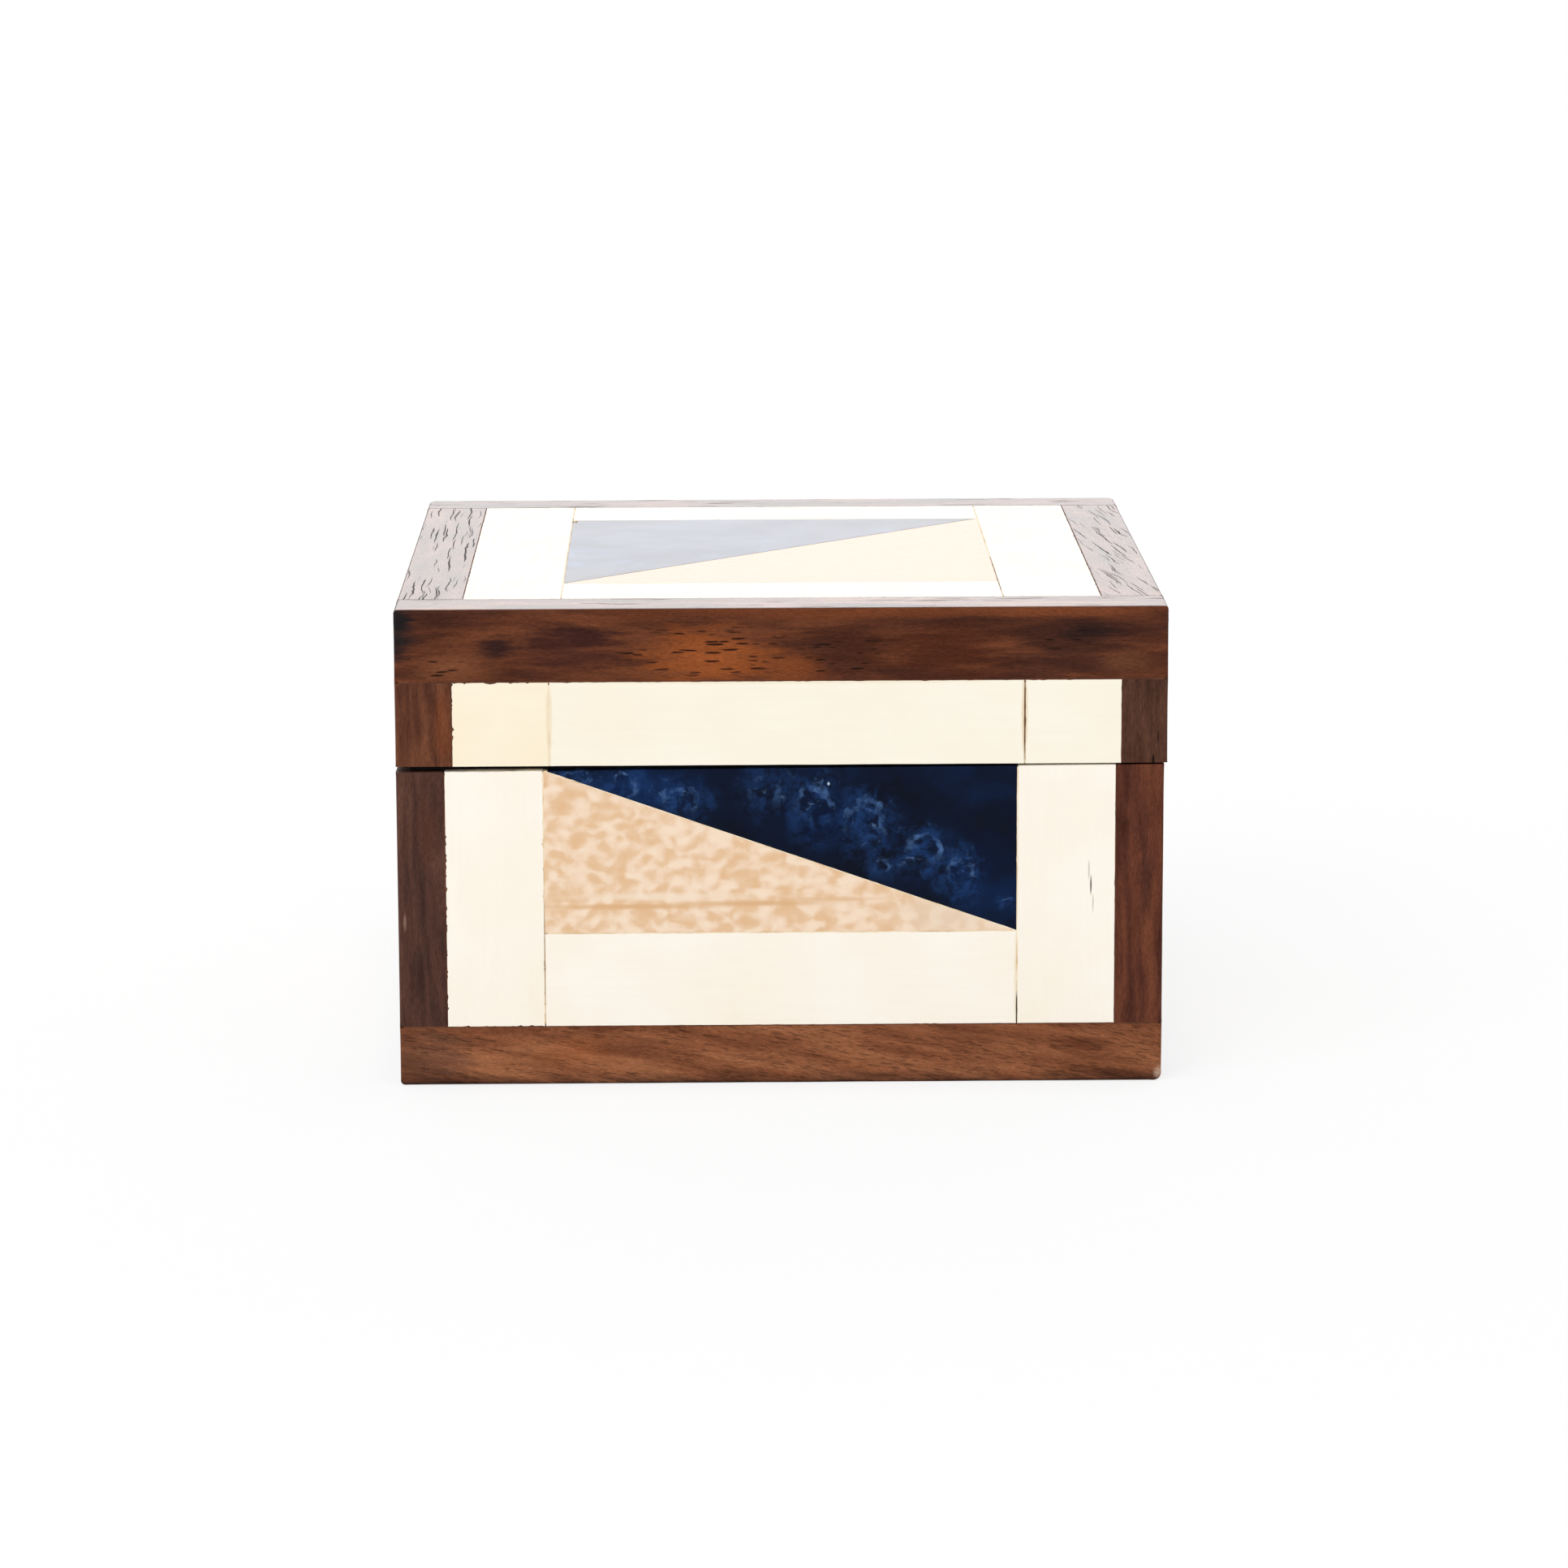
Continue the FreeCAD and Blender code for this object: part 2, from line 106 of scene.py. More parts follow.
# The studio: floor and lights in metres and watts, the share of plain white in the paper, which fades to
# all white, and the camera, with its angles in degrees.
FLOOR_SIZE = 8.0
PAPER_LIFT = 0.78
PAPER_FADE = (700.0, 1300.0)
AMBIENT = 0.76
KEY_WINDOW = {"place": (-0.9, -1.2, 1.5), "aim": (0, 0, 0.03), "size": (1.3, 1.3), "watts": 12.5}
BACK_CARD = {"place": (0, 1.6, 0.55), "aim": (0, 0, 0.06), "size": (3.2, 0.95), "watts": 11.0}
CAMERA_AZIMUTH, CAMERA_ELEVATION, CAMERA_ROLL = -0.798, 10.993, -0.187
CAMERA_TARGET = (1.186, 0, 30.68)
CAMERA_DISTANCE = 786.0
CAMERA_LENS, CAMERA_SENSOR = 128.03, 36.0

Rect = namedtuple("Rect", "left right low high")
Strip = namedtuple("Strip", "outline finish eases chips edge", defaults=(None,))
Patch = namedtuple("Patch", "shade amount centre half")


def paint(red, green, blue):
    """A colour as a paint card gives it (0 to 255), for a shader socket."""
    shares = (channel / 255 for channel in (red, green, blue))
    linear = (((share + 0.055) / 1.055) ** 2.4 if share > 0.04 else share / 12.92 for share in shares)
    return (*linear, 1.0)


class Nodes:
    """Short ways to add nodes to a shader tree."""

    def __init__(self, tree):
        self.tree = tree

    def put(self, node, inputs):
        """Links or sets each named input of a node."""
        for name, value in inputs.items():
            if isinstance(value, bpy.types.NodeSocket):
                self.tree.links.new(value, node.inputs[name])
            else:
                node.inputs[name].default_value = value

    def add(self, kind, inputs=None, **settings):
        node = self.tree.nodes.new("ShaderNode" + kind)
        for name, value in settings.items():
            setattr(node, name, value)
        self.put(node, inputs or {})
        return node

    def vector(self, operation, first, second):
        return self.add("VectorMath", {0: first, 1: second}, operation=operation).outputs[0]

    def sum(self, operation, first, second=0.0):
        return self.add("Math", {0: first, 1: second}, operation=operation).outputs[0]

    def times(self, first, second):
        return self.sum("MULTIPLY", first, second)

    def level(self, value, start, end, low=0.0, high=1.0):
        """low where value is at start, high where it is at end, and a soft step between."""
        inputs = {"Value": value, "From Min": start, "From Max": end, "To Min": low, "To Max": high}
        return self.add("MapRange", inputs, interpolation_type="SMOOTHSTEP").outputs[0]

    def seen(self):
        """1 for rays that show in the picture, also in a mirror or through glass, and 0 for other light."""
        path = self.add("LightPath").outputs
        shown = self.sum("MAXIMUM", path["Is Camera Ray"], path["Is Glossy Ray"])
        return self.sum("MAXIMUM", shown, path["Is Transmission Ray"])


class Finish(Nodes):
    """One finish of the box: place is a point of it, and laid is that point with the grain along x."""

    def __init__(self, name, axes="xyz", seed=0.0, tilt=0.0, **sheen):
        self.material = bpy.data.materials.new(name)
        self.material.use_nodes = True
        super().__init__(self.material.node_tree)
        self.shader = self.tree.nodes["Principled BSDF"]
        self.put(self.shader, sheen)
        where = self.add("TexCoord").outputs["Object"]
        self.place = self.add("VectorMath", {0: where, "Scale": 1 / MM}, operation="SCALE").outputs[0]
        split = self.add("SeparateXYZ", {0: self.place}).outputs
        order = {number: split["xyz".index(axis)] for number, axis in enumerate(axes)}
        laid = self.add("CombineXYZ", order).outputs[0]
        if tilt:
            turn = {"Vector": laid, "Angle": math.radians(tilt)}
            laid = self.add("VectorRotate", turn, rotation_type="Z_AXIS").outputs[0]
        self.laid = self.vector("ADD", laid, tuple(seed * step for step in SEED_STEP))

    def stretch(self, vector, along, across, through):
        return self.vector("MULTIPLY", vector, (along, across, through))

    def sideways(self, value, amount):
        """A shift across the grain, amount times value long."""
        return self.add("CombineXYZ", {1: self.times(value, amount)}).outputs[0]

    def stir(self, scale, detail, amount):
        """A cloudy shift to every side, as in stirred resin."""
        drift = self.add("TexNoise", {"Vector": self.laid, "Scale": scale, "Detail": detail}).outputs[1]
        centred = self.vector("SUBTRACT", drift, (0.5, 0.5, 0.5))
        return self.stretch(centred, amount, amount, amount)

    def noise(self, vector, scale, detail=2.0, rough=0.5):
        """Clouds of that scale, or of one each along, across and through the grain."""
        if isinstance(scale, tuple):
            vector, scale = self.stretch(vector, *scale), 1.0
        inputs = {"Vector": vector, "Scale": scale, "Detail": detail, "Roughness": rough}
        return self.add("TexNoise", inputs).outputs[0]

    def cells(self, vector, scale=1.0):
        return self.add("TexVoronoi", {"Vector": vector, "Scale": scale}).outputs

    def shades(self, value, *stops):
        """Colours for a value: three numbers are a paint card's colour, and four are a tint as it is."""
        ramp = self.add("ValToRGB", {0: value})
        steps = ramp.color_ramp.elements
        while len(steps) < len(stops):
            steps.new(0.5)
        for step, (position, colour) in zip(steps, stops):
            step.position = position
            step.color = paint(*colour) if len(colour) == 3 else colour
        return ramp.outputs[0]

    def over(self, amount, under, upper, blend="MIX"):
        inputs = {0: amount, 6: under, 7: upper}
        return self.add("Mix", inputs, data_type="RGBA", blend_type=blend).outputs[2]

    def apart(self, place, centre, half):
        """The way from centre to place, counted in half sizes, and its length."""
        way = self.vector("DIVIDE", self.vector("SUBTRACT", place, centre), half)
        return way, self.add("VectorMath", {0: way}, operation="LENGTH").outputs["Value"]

    def spot(self, centre, half, ragged=None, wobble=0.5, soft=0.6):
        """1 inside a patch at that point of the box, 0 outside, with an uneven edge."""
        _, reach = self.apart(self.place, centre, half)
        if ragged is None:
            ragged = self.noise(self.place, 0.45, detail=3.0)
        uneven = self.times(self.sum("SUBTRACT", ragged, 0.5), 2 * wobble)
        return self.level(self.sum("ADD", reach, uneven), 1.0, 1.0 - soft)

    def coverage(self, patch, **edge):
        """How much of a patch covers each point."""
        return self.times(self.spot(patch.centre, patch.half, **edge), patch.amount)

    def overlaid(self, colour, patches, **edge):
        """That colour with the patches laid over it."""
        for patch in patches:
            colour = self.over(self.coverage(patch, **edge), colour, paint(*patch.shade))
        return colour

    def close(self, colour, roughness, height=None, depth=0.0):
        """Puts the looks on the shader; height with its depth is the fine relief."""
        looks = {"Base Color": colour, "Roughness": roughness}
        if height is not None:
            bump = {"Height": height, "Distance": depth * MM, "Strength": 1.0}
            looks["Normal"] = self.add("Bump", bump).outputs[0]
        self.put(self.shader, looks)
        return self.material


PORE = paint(26, 15, 12)
BAND_TINTS = ((0.34, (0.8, 0.77, 0.75, 1)), (0.5, WHITE), (0.66, (1.18, 1.17, 1.15, 1)))
FIBRE_TINTS = ((0.3, (0.7, 0.67, 0.65, 1)), (0.5, WHITE), (0.7, (1.24, 1.23, 1.22, 1)))
DUST_TINTS = ((0.3, (0.88, 0.88, 0.89, 1)), (0.7, (1.12, 1.11, 1.1, 1)))


def dark_wood(name, axes, seed, shades, tilt=0.0, sway=3.0, patches=(), pores=0.3, pore_size=(4.0, 0.5),
              pore_ink=0.9, pore_spots=(), pore_rows=(0.06, 0.25), meander=0.0, gloss=(0.55, 0.42),
              relief=0.05, **sheen):
    """Oiled dark hardwood: clouded figure, streaks, short fibres, open pores of uneven size, stains and
    painted shade.

    pores is how many of them show, pore_size their length and width, pore_ink how dark they are, pore_spots
    the only places that have them, pore_rows how they crowd along and across the grain, and meander how
    far they wander.
    """
    wood = Finish(name, axes, seed, tilt, **{"IOR": 1.14, **sheen})
    drift = wood.noise(wood.laid, (0.035, 0.06, 0.06))
    bent = wood.vector("ADD", wood.laid, wood.sideways(drift, sway))
    figure = wood.noise(bent, (0.05, 0.34, 0.25), detail=5.0, rough=0.62)
    streaky = wood.noise(bent, (0.12, 0.9, 0.5), detail=5.0, rough=0.65)
    fibre = wood.noise(bent, (1.1, 6.5, 6.5), detail=3.0, rough=0.65)
    dust = wood.noise(wood.laid, 5.5, detail=2.0, rough=0.7)
    dark, mid, light = shades
    colour = wood.shades(figure, (0.36, dark), (0.5, mid), (0.64, light))
    colour = wood.overlaid(colour, patches, ragged=streaky, wobble=0.9, soft=0.8)
    layers = ((0.8, streaky, BAND_TINTS), (1.0, fibre, FIBRE_TINTS), (1.0, dust, DUST_TINTS))
    for amount, value, tints in layers:
        colour = wood.over(amount, colour, wood.shades(value, *tints), blend="MULTIPLY")
    length, width = pore_size
    strewn, rows = wood.vector("ADD", bent, wood.sideways(dust, 0.3 * width)), wood.laid
    if meander:
        wave = wood.sideways(wood.noise(wood.laid, (0.14, 0.35, 0.35)), meander)
        strewn, rows = wood.vector("ADD", strewn, wave), wood.vector("ADD", rows, wave)
    cell = wood.cells(wood.stretch(strewn, 1 / length, 1 / width, 1 / width))
    pit = wood.sum("SUBTRACT", cell["Distance"], wood.times(cell["Color"], 0.48))
    along, across = pore_rows
    crowd = wood.level(wood.noise(rows, (along, across, across)), 0.68 - 0.4 * pores, 0.78 - 0.4 * pores)
    if pore_spots:
        where = 0.0
        for centre, half in pore_spots:
            where = wood.sum("MAXIMUM", wood.spot(centre, half, streaky, soft=0.5), where)
        crowd = wood.times(crowd, where)
    hole = wood.times(wood.level(pit, 0.06, -0.06), crowd)
    colour = wood.over(wood.times(hole, pore_ink), colour, PORE)
    roughness = wood.sum("MAXIMUM", wood.level(fibre, 0.3, 0.7, *gloss), wood.times(hole, 0.75))
    height = wood.sum("SUBTRACT", wood.times(fibre, 0.3), hole)
    return wood.close(colour, roughness, height, relief)


def carcass_wood(name, axes, seed):
    """Plain pale-brown board, planed and left bare inside the box; its outer skin is painted near-black as
    shade.
    """
    board = Finish(name, axes, seed, IOR=1.3)
    drift = board.noise(board.laid, (0.018, 0.03, 0.03))
    bent = board.vector("ADD", board.laid, board.sideways(drift, 9.0))
    rings = board.noise(bent, (0.012, 0.42, 0.3), detail=5.0, rough=0.65)
    fibre = board.noise(bent, (0.5, 7.0, 7.0), detail=3.0, rough=0.6)
    colour = board.shades(rings, (0.34, (136, 92, 60)), (0.5, (153, 107, 72)), (0.68, (168, 122, 84)))
    ticking = board.shades(fibre, (0.3, (0.8, 0.77, 0.75, 1)), (0.6, (1.08, 1.08, 1.08, 1)))
    colour = board.over(1.0, colour, ticking, blend="MULTIPLY")
    pores = board.cells(board.stretch(bent, 1 / 3.2, 1 / 0.3, 1 / 0.3))["Distance"]
    pores = board.level(pores, 0.24, 0.14, 0.0, 0.6)
    colour = board.over(pores, colour, paint(84, 52, 33))
    across, deep, _ = board.add("SeparateXYZ", {0: board.place}).outputs
    outermost = board.sum("MAXIMUM", board.sum("ABSOLUTE", across), board.sum("ABSOLUTE", deep))
    # Painted shade: the board's outermost skin, seen only through the seams and gaps of the facing, is
    # near-black.
    shade_skin = board.level(outermost, BOARD_FACE, BOARD_FACE + BOARD_SHADE_SKIN)
    colour = board.over(shade_skin, colour, paint(22, 15, 12))
    return board.close(colour, board.level(fibre, 0.3, 0.7, 0.72, 0.56), fibre, 0.04)


def bone(name, axes, seed, tone=(253, 247, 232), marks_and_shade=(), **sheen):
    """Sanded bone: near white, faintly clouded, with very fine lines along the strip."""
    plate = Finish(name, axes, seed, **{"IOR": 1.3, **sheen})
    cloud = plate.noise(plate.laid, 0.07, detail=3.0)
    lines = plate.noise(plate.laid, (0.1, 1.6, 1.6), detail=3.0)
    aged = tuple(channel - loss for channel, loss in zip(tone, (2, 4, 9)))
    colour = plate.shades(cloud, (0.3, aged), (0.65, tone))
    ticking = plate.shades(lines, (0.3, (0.99, 0.987, 0.98, 1)), (0.6, WHITE))
    colour = plate.over(1.0, colour, ticking, blend="MULTIPLY")
    colour = plate.overlaid(colour, marks_and_shade, wobble=0.4)
    return plate.close(colour, plate.level(lines, 0.3, 0.7, 0.46, 0.38), lines, 0.008)


def cream_resin(name, axes, seed, contrast=1.0, streaks=(), **sheen):
    """Cast resin in cream, with soft worm-like tan clots and paler gaps between them."""
    cast = Finish(name, axes, seed, **{"IOR": 1.2, **sheen})
    stirred = cast.vector("ADD", cast.laid, cast.stir(0.3, 1.0, 2.0))
    worms = cast.noise(stirred, (0.57, 0.72, 0.62), detail=0.7, rough=0.4)
    grains = cast.sum("SUBTRACT", cast.noise(cast.laid, 2.4, detail=3.0, rough=0.6), 0.5)
    mottle = cast.sum("ADD", worms, cast.times(grains, 0.16))
    colour = cast.shades(mottle, (0.3, (246, 223, 197)), (0.44, (242, 214, 186)), (0.52, (237, 205, 172)),
                         (0.61, (232, 196, 158)), (0.76, (229, 189, 148)))
    colour = cast.overlaid(colour, streaks, wobble=0.2, soft=0.9)
    if contrast < 1:
        colour = cast.over(contrast, paint(*TOP_CREAM), colour)
    return cast.close(colour, cast.level(mottle, 0.3, 0.7, 0.4, 0.32))


def blue_resin(name, axes, seed, curls=(), clouds=(), specks=(), **sheen):
    """Cast resin in near-black navy, with smoky blue clouds and thin broken curls of paler pigment.

    Without curls of its own, it has some strewn by chance.
    """
    cast = Finish(name, axes, seed, **{"IOR": 1.12, **sheen})
    shift = cast.stir(0.35, 2.0, 2.6)
    stirred = cast.vector("ADD", cast.laid, shift)
    if curls:
        reach, shown, lit = 4.0, 0.0, 0.0
        moved = cast.vector("ADD", cast.place, shift)
        for centre, half, strength in curls:
            way, span = cast.apart(moved, centre, half)
            upper = cast.add("VectorMath", {0: way, 1: (0.45, 0, 0.85)}, operation="DOT_PRODUCT")
            upper = cast.level(upper.outputs["Value"], -0.7, 0.6)
            inside = cast.level(span, 1.7, 1.0, 0.0, strength)
            reach = cast.sum("MINIMUM", span, reach)
            shown = cast.sum("MAXIMUM", inside, shown)
            lit = cast.sum("MAXIMUM", cast.times(inside, upper), lit)
    else:
        cell = cast.cells(stirred, 0.1)
        reach = cast.times(cell["Distance"], 1.9)
        shown = lit = cast.level(cell["Color"], 0.3, 0.7, 0.2, 0.9)
    deep = cast.noise(stirred, 0.1, detail=3.0)
    colour = cast.shades(deep, (0.36, (12, 17, 30)), (0.55, (12, 22, 43)), (0.72, (14, 33, 66)))
    colour = cast.overlaid(colour, clouds, wobble=0.4, soft=0.9)
    billow = cast.noise(stirred, 0.55, detail=5.0, rough=0.65)
    haze = cast.times(cast.level(reach, 1.6, 0.4), cast.level(billow, 0.38, 0.66))
    colour = cast.over(cast.times(haze, shown), colour, paint(27, 56, 102))
    rings = cast.sum("SINE", cast.sum("ADD", cast.times(reach, 9.0), cast.times(billow, 6.0)))
    broken = cast.level(cast.noise(cast.laid, 0.42, detail=3.0, rough=0.6), 0.42, 0.64)
    curl = cast.times(cast.level(rings, 0.1, 1.0), broken)
    curl = cast.times(curl, cast.level(reach, 1.2, 0.9))
    colour = cast.over(cast.times(curl, lit), colour, paint(70, 102, 148))
    clot = cast.level(cast.noise(stirred, 0.9, detail=4.0, rough=0.6), 0.6, 0.84)
    clot = cast.times(clot, cast.level(reach, 1.0, 0.6, 0.0, 0.8))
    colour = cast.over(cast.times(clot, shown), colour, paint(104, 134, 176))
    for centre, half in specks:
        colour = cast.over(cast.spot(centre, half, wobble=0.2, soft=0.7), colour, paint(176, 196, 214))
    return cast.close(colour, cast.level(deep, 0.3, 0.7, 0.27, 0.25))


def glue(name, shades, soiled=()):
    """Old glue and sanding dust in the joint lines, browner and without shine where dirt has got in."""
    line = Finish(name, IOR=1.2)
    clean, worked, dirty = shades
    soil = line.noise(line.place, 0.16, detail=4.0, rough=0.65)
    colour = line.shades(soil, (0.36, clean), (0.52, worked), (0.7, dirty))
    colour = line.overlaid(colour, soiled)
    shine = 0.5
    for patch in soiled:
        shine = line.times(line.sum("SUBTRACT", 1.0, line.coverage(patch)), shine)
    line.put(line.shader, {"Specular IOR Level": shine})
    return line.close(colour, 0.7, soil, 0.03)


def aged_brass(name):
    """Rolled brass, dulled by handling, with a brushed run along the leaf."""
    brass = Finish(name, Metallic=1.0)
    brushed = brass.noise(brass.place, (0.4, 9.0, 9.0), detail=2.0)
    tarnish = brass.noise(brass.place, 0.35, detail=4.0, rough=0.6)
    colour = brass.shades(tarnish, (0.32, (118, 88, 46)), (0.5, (176, 140, 78)), (0.7, (204, 172, 108)))
    rough = brass.sum("ADD", brass.level(tarnish, 0.3, 0.7, 0.46, 0.3), brass.times(brushed, 0.08))
    return brass.close(colour, rough, brushed, 0.01)


def reach_of(outline):
    across, height = zip(*outline)
    return Rect(min(across), max(across), min(height), max(height))


class Side:
    """One face of the box: u runs right, v up and n outwards, as someone looking at that face sees it."""

    def __init__(self, right, up, node):
        self.right, self.up = Vector(right), Vector(up)
        out = self.right.cross(self.up)
        face = max(corner.dot(out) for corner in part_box(node))
        turn = Matrix((self.right, self.up, out)).transposed().to_4x4()
        self.matrix = Matrix.Translation(out * face) @ turn @ Matrix.Scale(MM, 4)

    def rect(self, *nodes):
        corners = [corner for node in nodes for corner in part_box(node)]
        return reach_of([(corner.dot(self.right) / MM, corner.dot(self.up) / MM) for corner in corners])


FRONT = Side((1, 0, 0), (0, 0, 1), "base_front_rail")
BACK = Side((-1, 0, 0), (0, 0, 1), "base_back_wood_strips")
LEFT = Side((0, -1, 0), (0, 0, 1), "base_left_wood_strips")
RIGHT = Side((0, 1, 0), (0, 0, 1), "base_right_wood_strips")
LID_RIGHT = Side((0, 1, 0), (0, 0, 1), "lid_right_wood_strips")
TOP = Side((1, 0, 0), (0, 1, 0), "top_front_rail")

# Sizes that the frame gives
RAIL_FRONT, RAIL_BACK = (corner.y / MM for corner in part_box("base_front_rail"))
FACING = RAIL_BACK - RAIL_FRONT
HALF_DEPTH = -RAIL_FRONT
GLUE_LINE = FRONT.rect("base_front_bottom_bone").low - FRONT.rect("base_front_rail").high
BOARD_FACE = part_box("base_right_board")[1].x / MM
TOP_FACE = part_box("top_front_rail")[1].z / MM


def corners_of(rect):
    return [(rect.left, rect.low), (rect.right, rect.low), (rect.right, rect.high), (rect.left, rect.high)]


def grown(rect, room):
    return Rect(rect.left - room, rect.right + room, rect.low - room, rect.high + room)


def overlap(*rects):
    """The rectangle that all of them share."""
    left, right, low, high = zip(*rects)
    return Rect(max(left), min(right), max(low), min(high))


def halfway(one, other):
    """The rectangle halfway between two others."""
    return Rect(*((first + second) / 2 for first, second in zip(one, other)))


def opened(rect, gap):
    """A strip whose left edge has shrunk away from its neighbour."""
    return rect._replace(left=rect.left + gap)


def points_of(made):
    """The vertices among the things that a bmesh operator has made."""
    return [item for item in made if isinstance(item, bmesh.types.BMVert)]


def cut_notches(bm, notches):
    """Takes the hinge notches out of a flat blank."""
    for notch in notches:
        for point, normal in (((notch.left, 0, 0), (1, 0, 0)), ((notch.right, 0, 0), (1, 0, 0)),
                              ((0, notch.low, 0), (0, 1, 0)), ((0, notch.high, 0), (0, 1, 0))):
            bmesh.ops.bisect_plane(bm, geom=bm.verts[:] + bm.edges[:] + bm.faces[:], dist=1e-5,
                                   plane_co=point, plane_no=normal)
        inside = []
        for face in bm.faces:
            middle = face.calc_center_median()
            if notch.left < middle.x < notch.right and notch.low < middle.y < notch.high:
                inside.append(face)
        bmesh.ops.delete(bm, geom=inside, context="FACES")
    if len(bm.faces) > 1:
        bmesh.ops.dissolve_faces(bm, faces=bm.faces[:], use_verts=False)
    bmesh.ops.dissolve_limit(bm, angle_limit=0.001, verts=bm.verts[:], edges=bm.edges[:])


def thicken(bm, depth):
    """Makes a flat blank that deep, inwards from its face."""
    made = bmesh.ops.extrude_face_region(bm, geom=bm.faces[:])["geom"]
    bmesh.ops.translate(bm, vec=(0, 0, -depth), verts=points_of(made))
    bmesh.ops.recalc_face_normals(bm, faces=bm.faces[:])


def pour(bm, whole):
    """Adds one bmesh to another and frees it."""
    loose = bpy.data.meshes.new("loose")
    bm.to_mesh(loose)
    bm.free()
    whole.from_mesh(loose)
    bpy.data.meshes.remove(loose)


def in_scene(name, data):
    """A new object of that name, in the scene."""
    thing = bpy.data.objects.new(name, data)
    bpy.context.scene.collection.objects.link(thing)
    return thing


def placed(name, bm, *finishes):
    """The object of that name, in the scene, made of a bmesh, which is freed."""
    mesh = bpy.data.meshes.new(name)
    for finish in finishes:
        mesh.materials.append(finish)
    bm.to_mesh(mesh)
    bm.free()
    return in_scene(name, mesh)


def worn(point, chips):
    """How far a joint edge is nibbled away at that point, in millimetres."""
    wave = 0.5 + 0.5 * chance.noise(point * SLOW_WEAR)
    coarse = chance.noise(point * COARSE_WEAR + Vector((40, 0, 0)))
    bite = 0.6 * coarse + 0.6 * chance.noise(point * FINE_WEAR)
    return EDGE_WAVE * wave + chips * max(0.0, bite - 0.1)


def rim_shift(rim, across):
    """How far the rim of the base stands above its drawn height at that place along the side."""
    share = (across + HALF_DEPTH) / (2 * HALF_DEPTH)
    return rim[0] * (1 - share) + rim[1] * share


def round_corners(bm, ease, worn_radius, knocked):
    """Rounds the free corners of a flat blank, and its lower right one more where it has been knocked."""
    free = []
    for vert in bm.verts:
        arms = [edge[ease] for edge in vert.link_edges]
        runs = [(edge.other_vert(vert).co - vert.co).normalized() for edge in vert.link_edges]
        if runs[0].dot(runs[1]) > STRAIGHT_ON and min(arms) > SEAM_EASE * 2:
            at_foot = vert.co.x > 0 and vert.co.y < FOOT_HEIGHT
            radius = max(CORNER_SHARE * max(arms), worn_radius, knocked if at_foot else 0.0)
            free.append((vert, vert.co.copy(), radius, min(arms)))
    for vert, corner, radius, rounding in free:
        bmesh.ops.bevel(bm, geom=[vert], offset=radius, offset_type="OFFSET", segments=4, profile=0.5,
                        affect="VERTICES", material=-1)
        for edge in bm.edges:
            middle = (edge.verts[0].co + edge.verts[1].co) / 2
            if (middle - corner).length < radius and edge.calc_length() < radius:
                edge[ease] = rounding


def wear_edge(bm, edge, rounding, side, chips):
    """Cuts one edge of a flat blank into short steps and moves them inwards by the wear."""
    loop = edge.link_loops[0]
    run = (loop.link_loop_next.vert.co - loop.vert.co).normalized()
    inward = Vector((-run.y, run.x, 0))
    outer = rounding > JOINT_EASE * 1.5
    flush = rounding < JOINT_EASE / 2
    cuts = int(edge.calc_length() / (CHIP_STEP if chips > DEEP_CHIPS and not outer else WEAR_STEP))
    if cuts < 1 or flush:
        return
    made = bmesh.ops.subdivide_edges(bm, edges=[edge], cuts=cuts)["geom_inner"]
    for vert in points_of(made):
        spot = side.matrix @ vert.co / MM
        vert.co += inward * worn(spot, 0.0 if outer else chips)


def make_strip(side, strip, number, notches, rim):
    """One strip of the facing as a bmesh: outline, notches, uneven edges, thickness and eased arrises."""
    bm = bmesh.new()
    blank = bm.faces.new([bm.verts.new((u, v, 0)) for u, v in strip.outline])
    blank.normal_update()
    if blank.normal.z < 0:
        blank.normal_flip()
    reach = reach_of(strip.outline)
    cut_notches(bm, notches)
    ease = bm.edges.layers.float.new("ease")
    for edge in bm.edges:
        edge[ease] = JOINT_EASE
        for name, axis in (("left", 0), ("right", 0), ("low", 1), ("high", 1)):
            limit = getattr(reach, name)
            on_limit = all(abs(vert.co[axis] - limit) < SAME_PLACE for vert in edge.verts)
            if name in strip.eases and on_limit:
                edge[ease] = strip.eases[name]
    round_corners(bm, ease, strip.eases.get("corners", 0.0), strip.eases.get("foot", 0.0))
    if "high" in strip.eases:
        for vert in bm.verts:
            if abs(vert.co.y - reach.high) < SAME_PLACE:
                vert.co.y += rim_shift(rim, vert.co.x)
    for edge in bm.edges[:]:
        wear_edge(bm, edge, edge[ease], side, strip.chips)
    thicken(bm, FACING)
    weight = bm.edges.layers.float.new("bevel_weight_edge")
    for edge in bm.edges:
        on_face = min(vert.co.z for vert in edge.verts) > -FACING / 2
        rounding = edge[ease] if on_face else 0.0
        edge[weight] = rounding / WIDEST_EASE
        edge.smooth = rounding > 0 or edge.calc_face_angle(0.0) < SMOOTH_ANGLE
    bm.edges.layers.float.remove(bm.edges.layers.float["ease"])
    for face in bm.faces:
        face.smooth = True
        on_face = face.normal.z > 0.5
        face.material_index = number if on_face or not strip.edge else number + 1
    bm.transform(side.matrix)
    return bm


def facing(node, side, strips, notches=(), rim=(0, 0)):
    """The piece of one or more strips that stands for a CAD node."""
    whole = bmesh.new()
    finishes = []
    for number, strip in enumerate(strips):
        pour(make_strip(side, strip, number, notches, rim), whole)
        finishes += [strip.finish, strip.edge] if strip.edge else [strip.finish]
    piece = placed(node.removesuffix("_strips") + "_facing", whole, *finishes)
    rounding = piece.modifiers.new("eased arrises", "BEVEL")
    rounding.limit_method = "WEIGHT"
    rounding.width = WIDEST_EASE * MM
    rounding.segments = 3
    rounding.profile = 0.5
    rounding.use_clamp_overlap = False
    rounding.harden_normals = True
    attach(piece, "base" if node.startswith("base") else "lid")
    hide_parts(node)


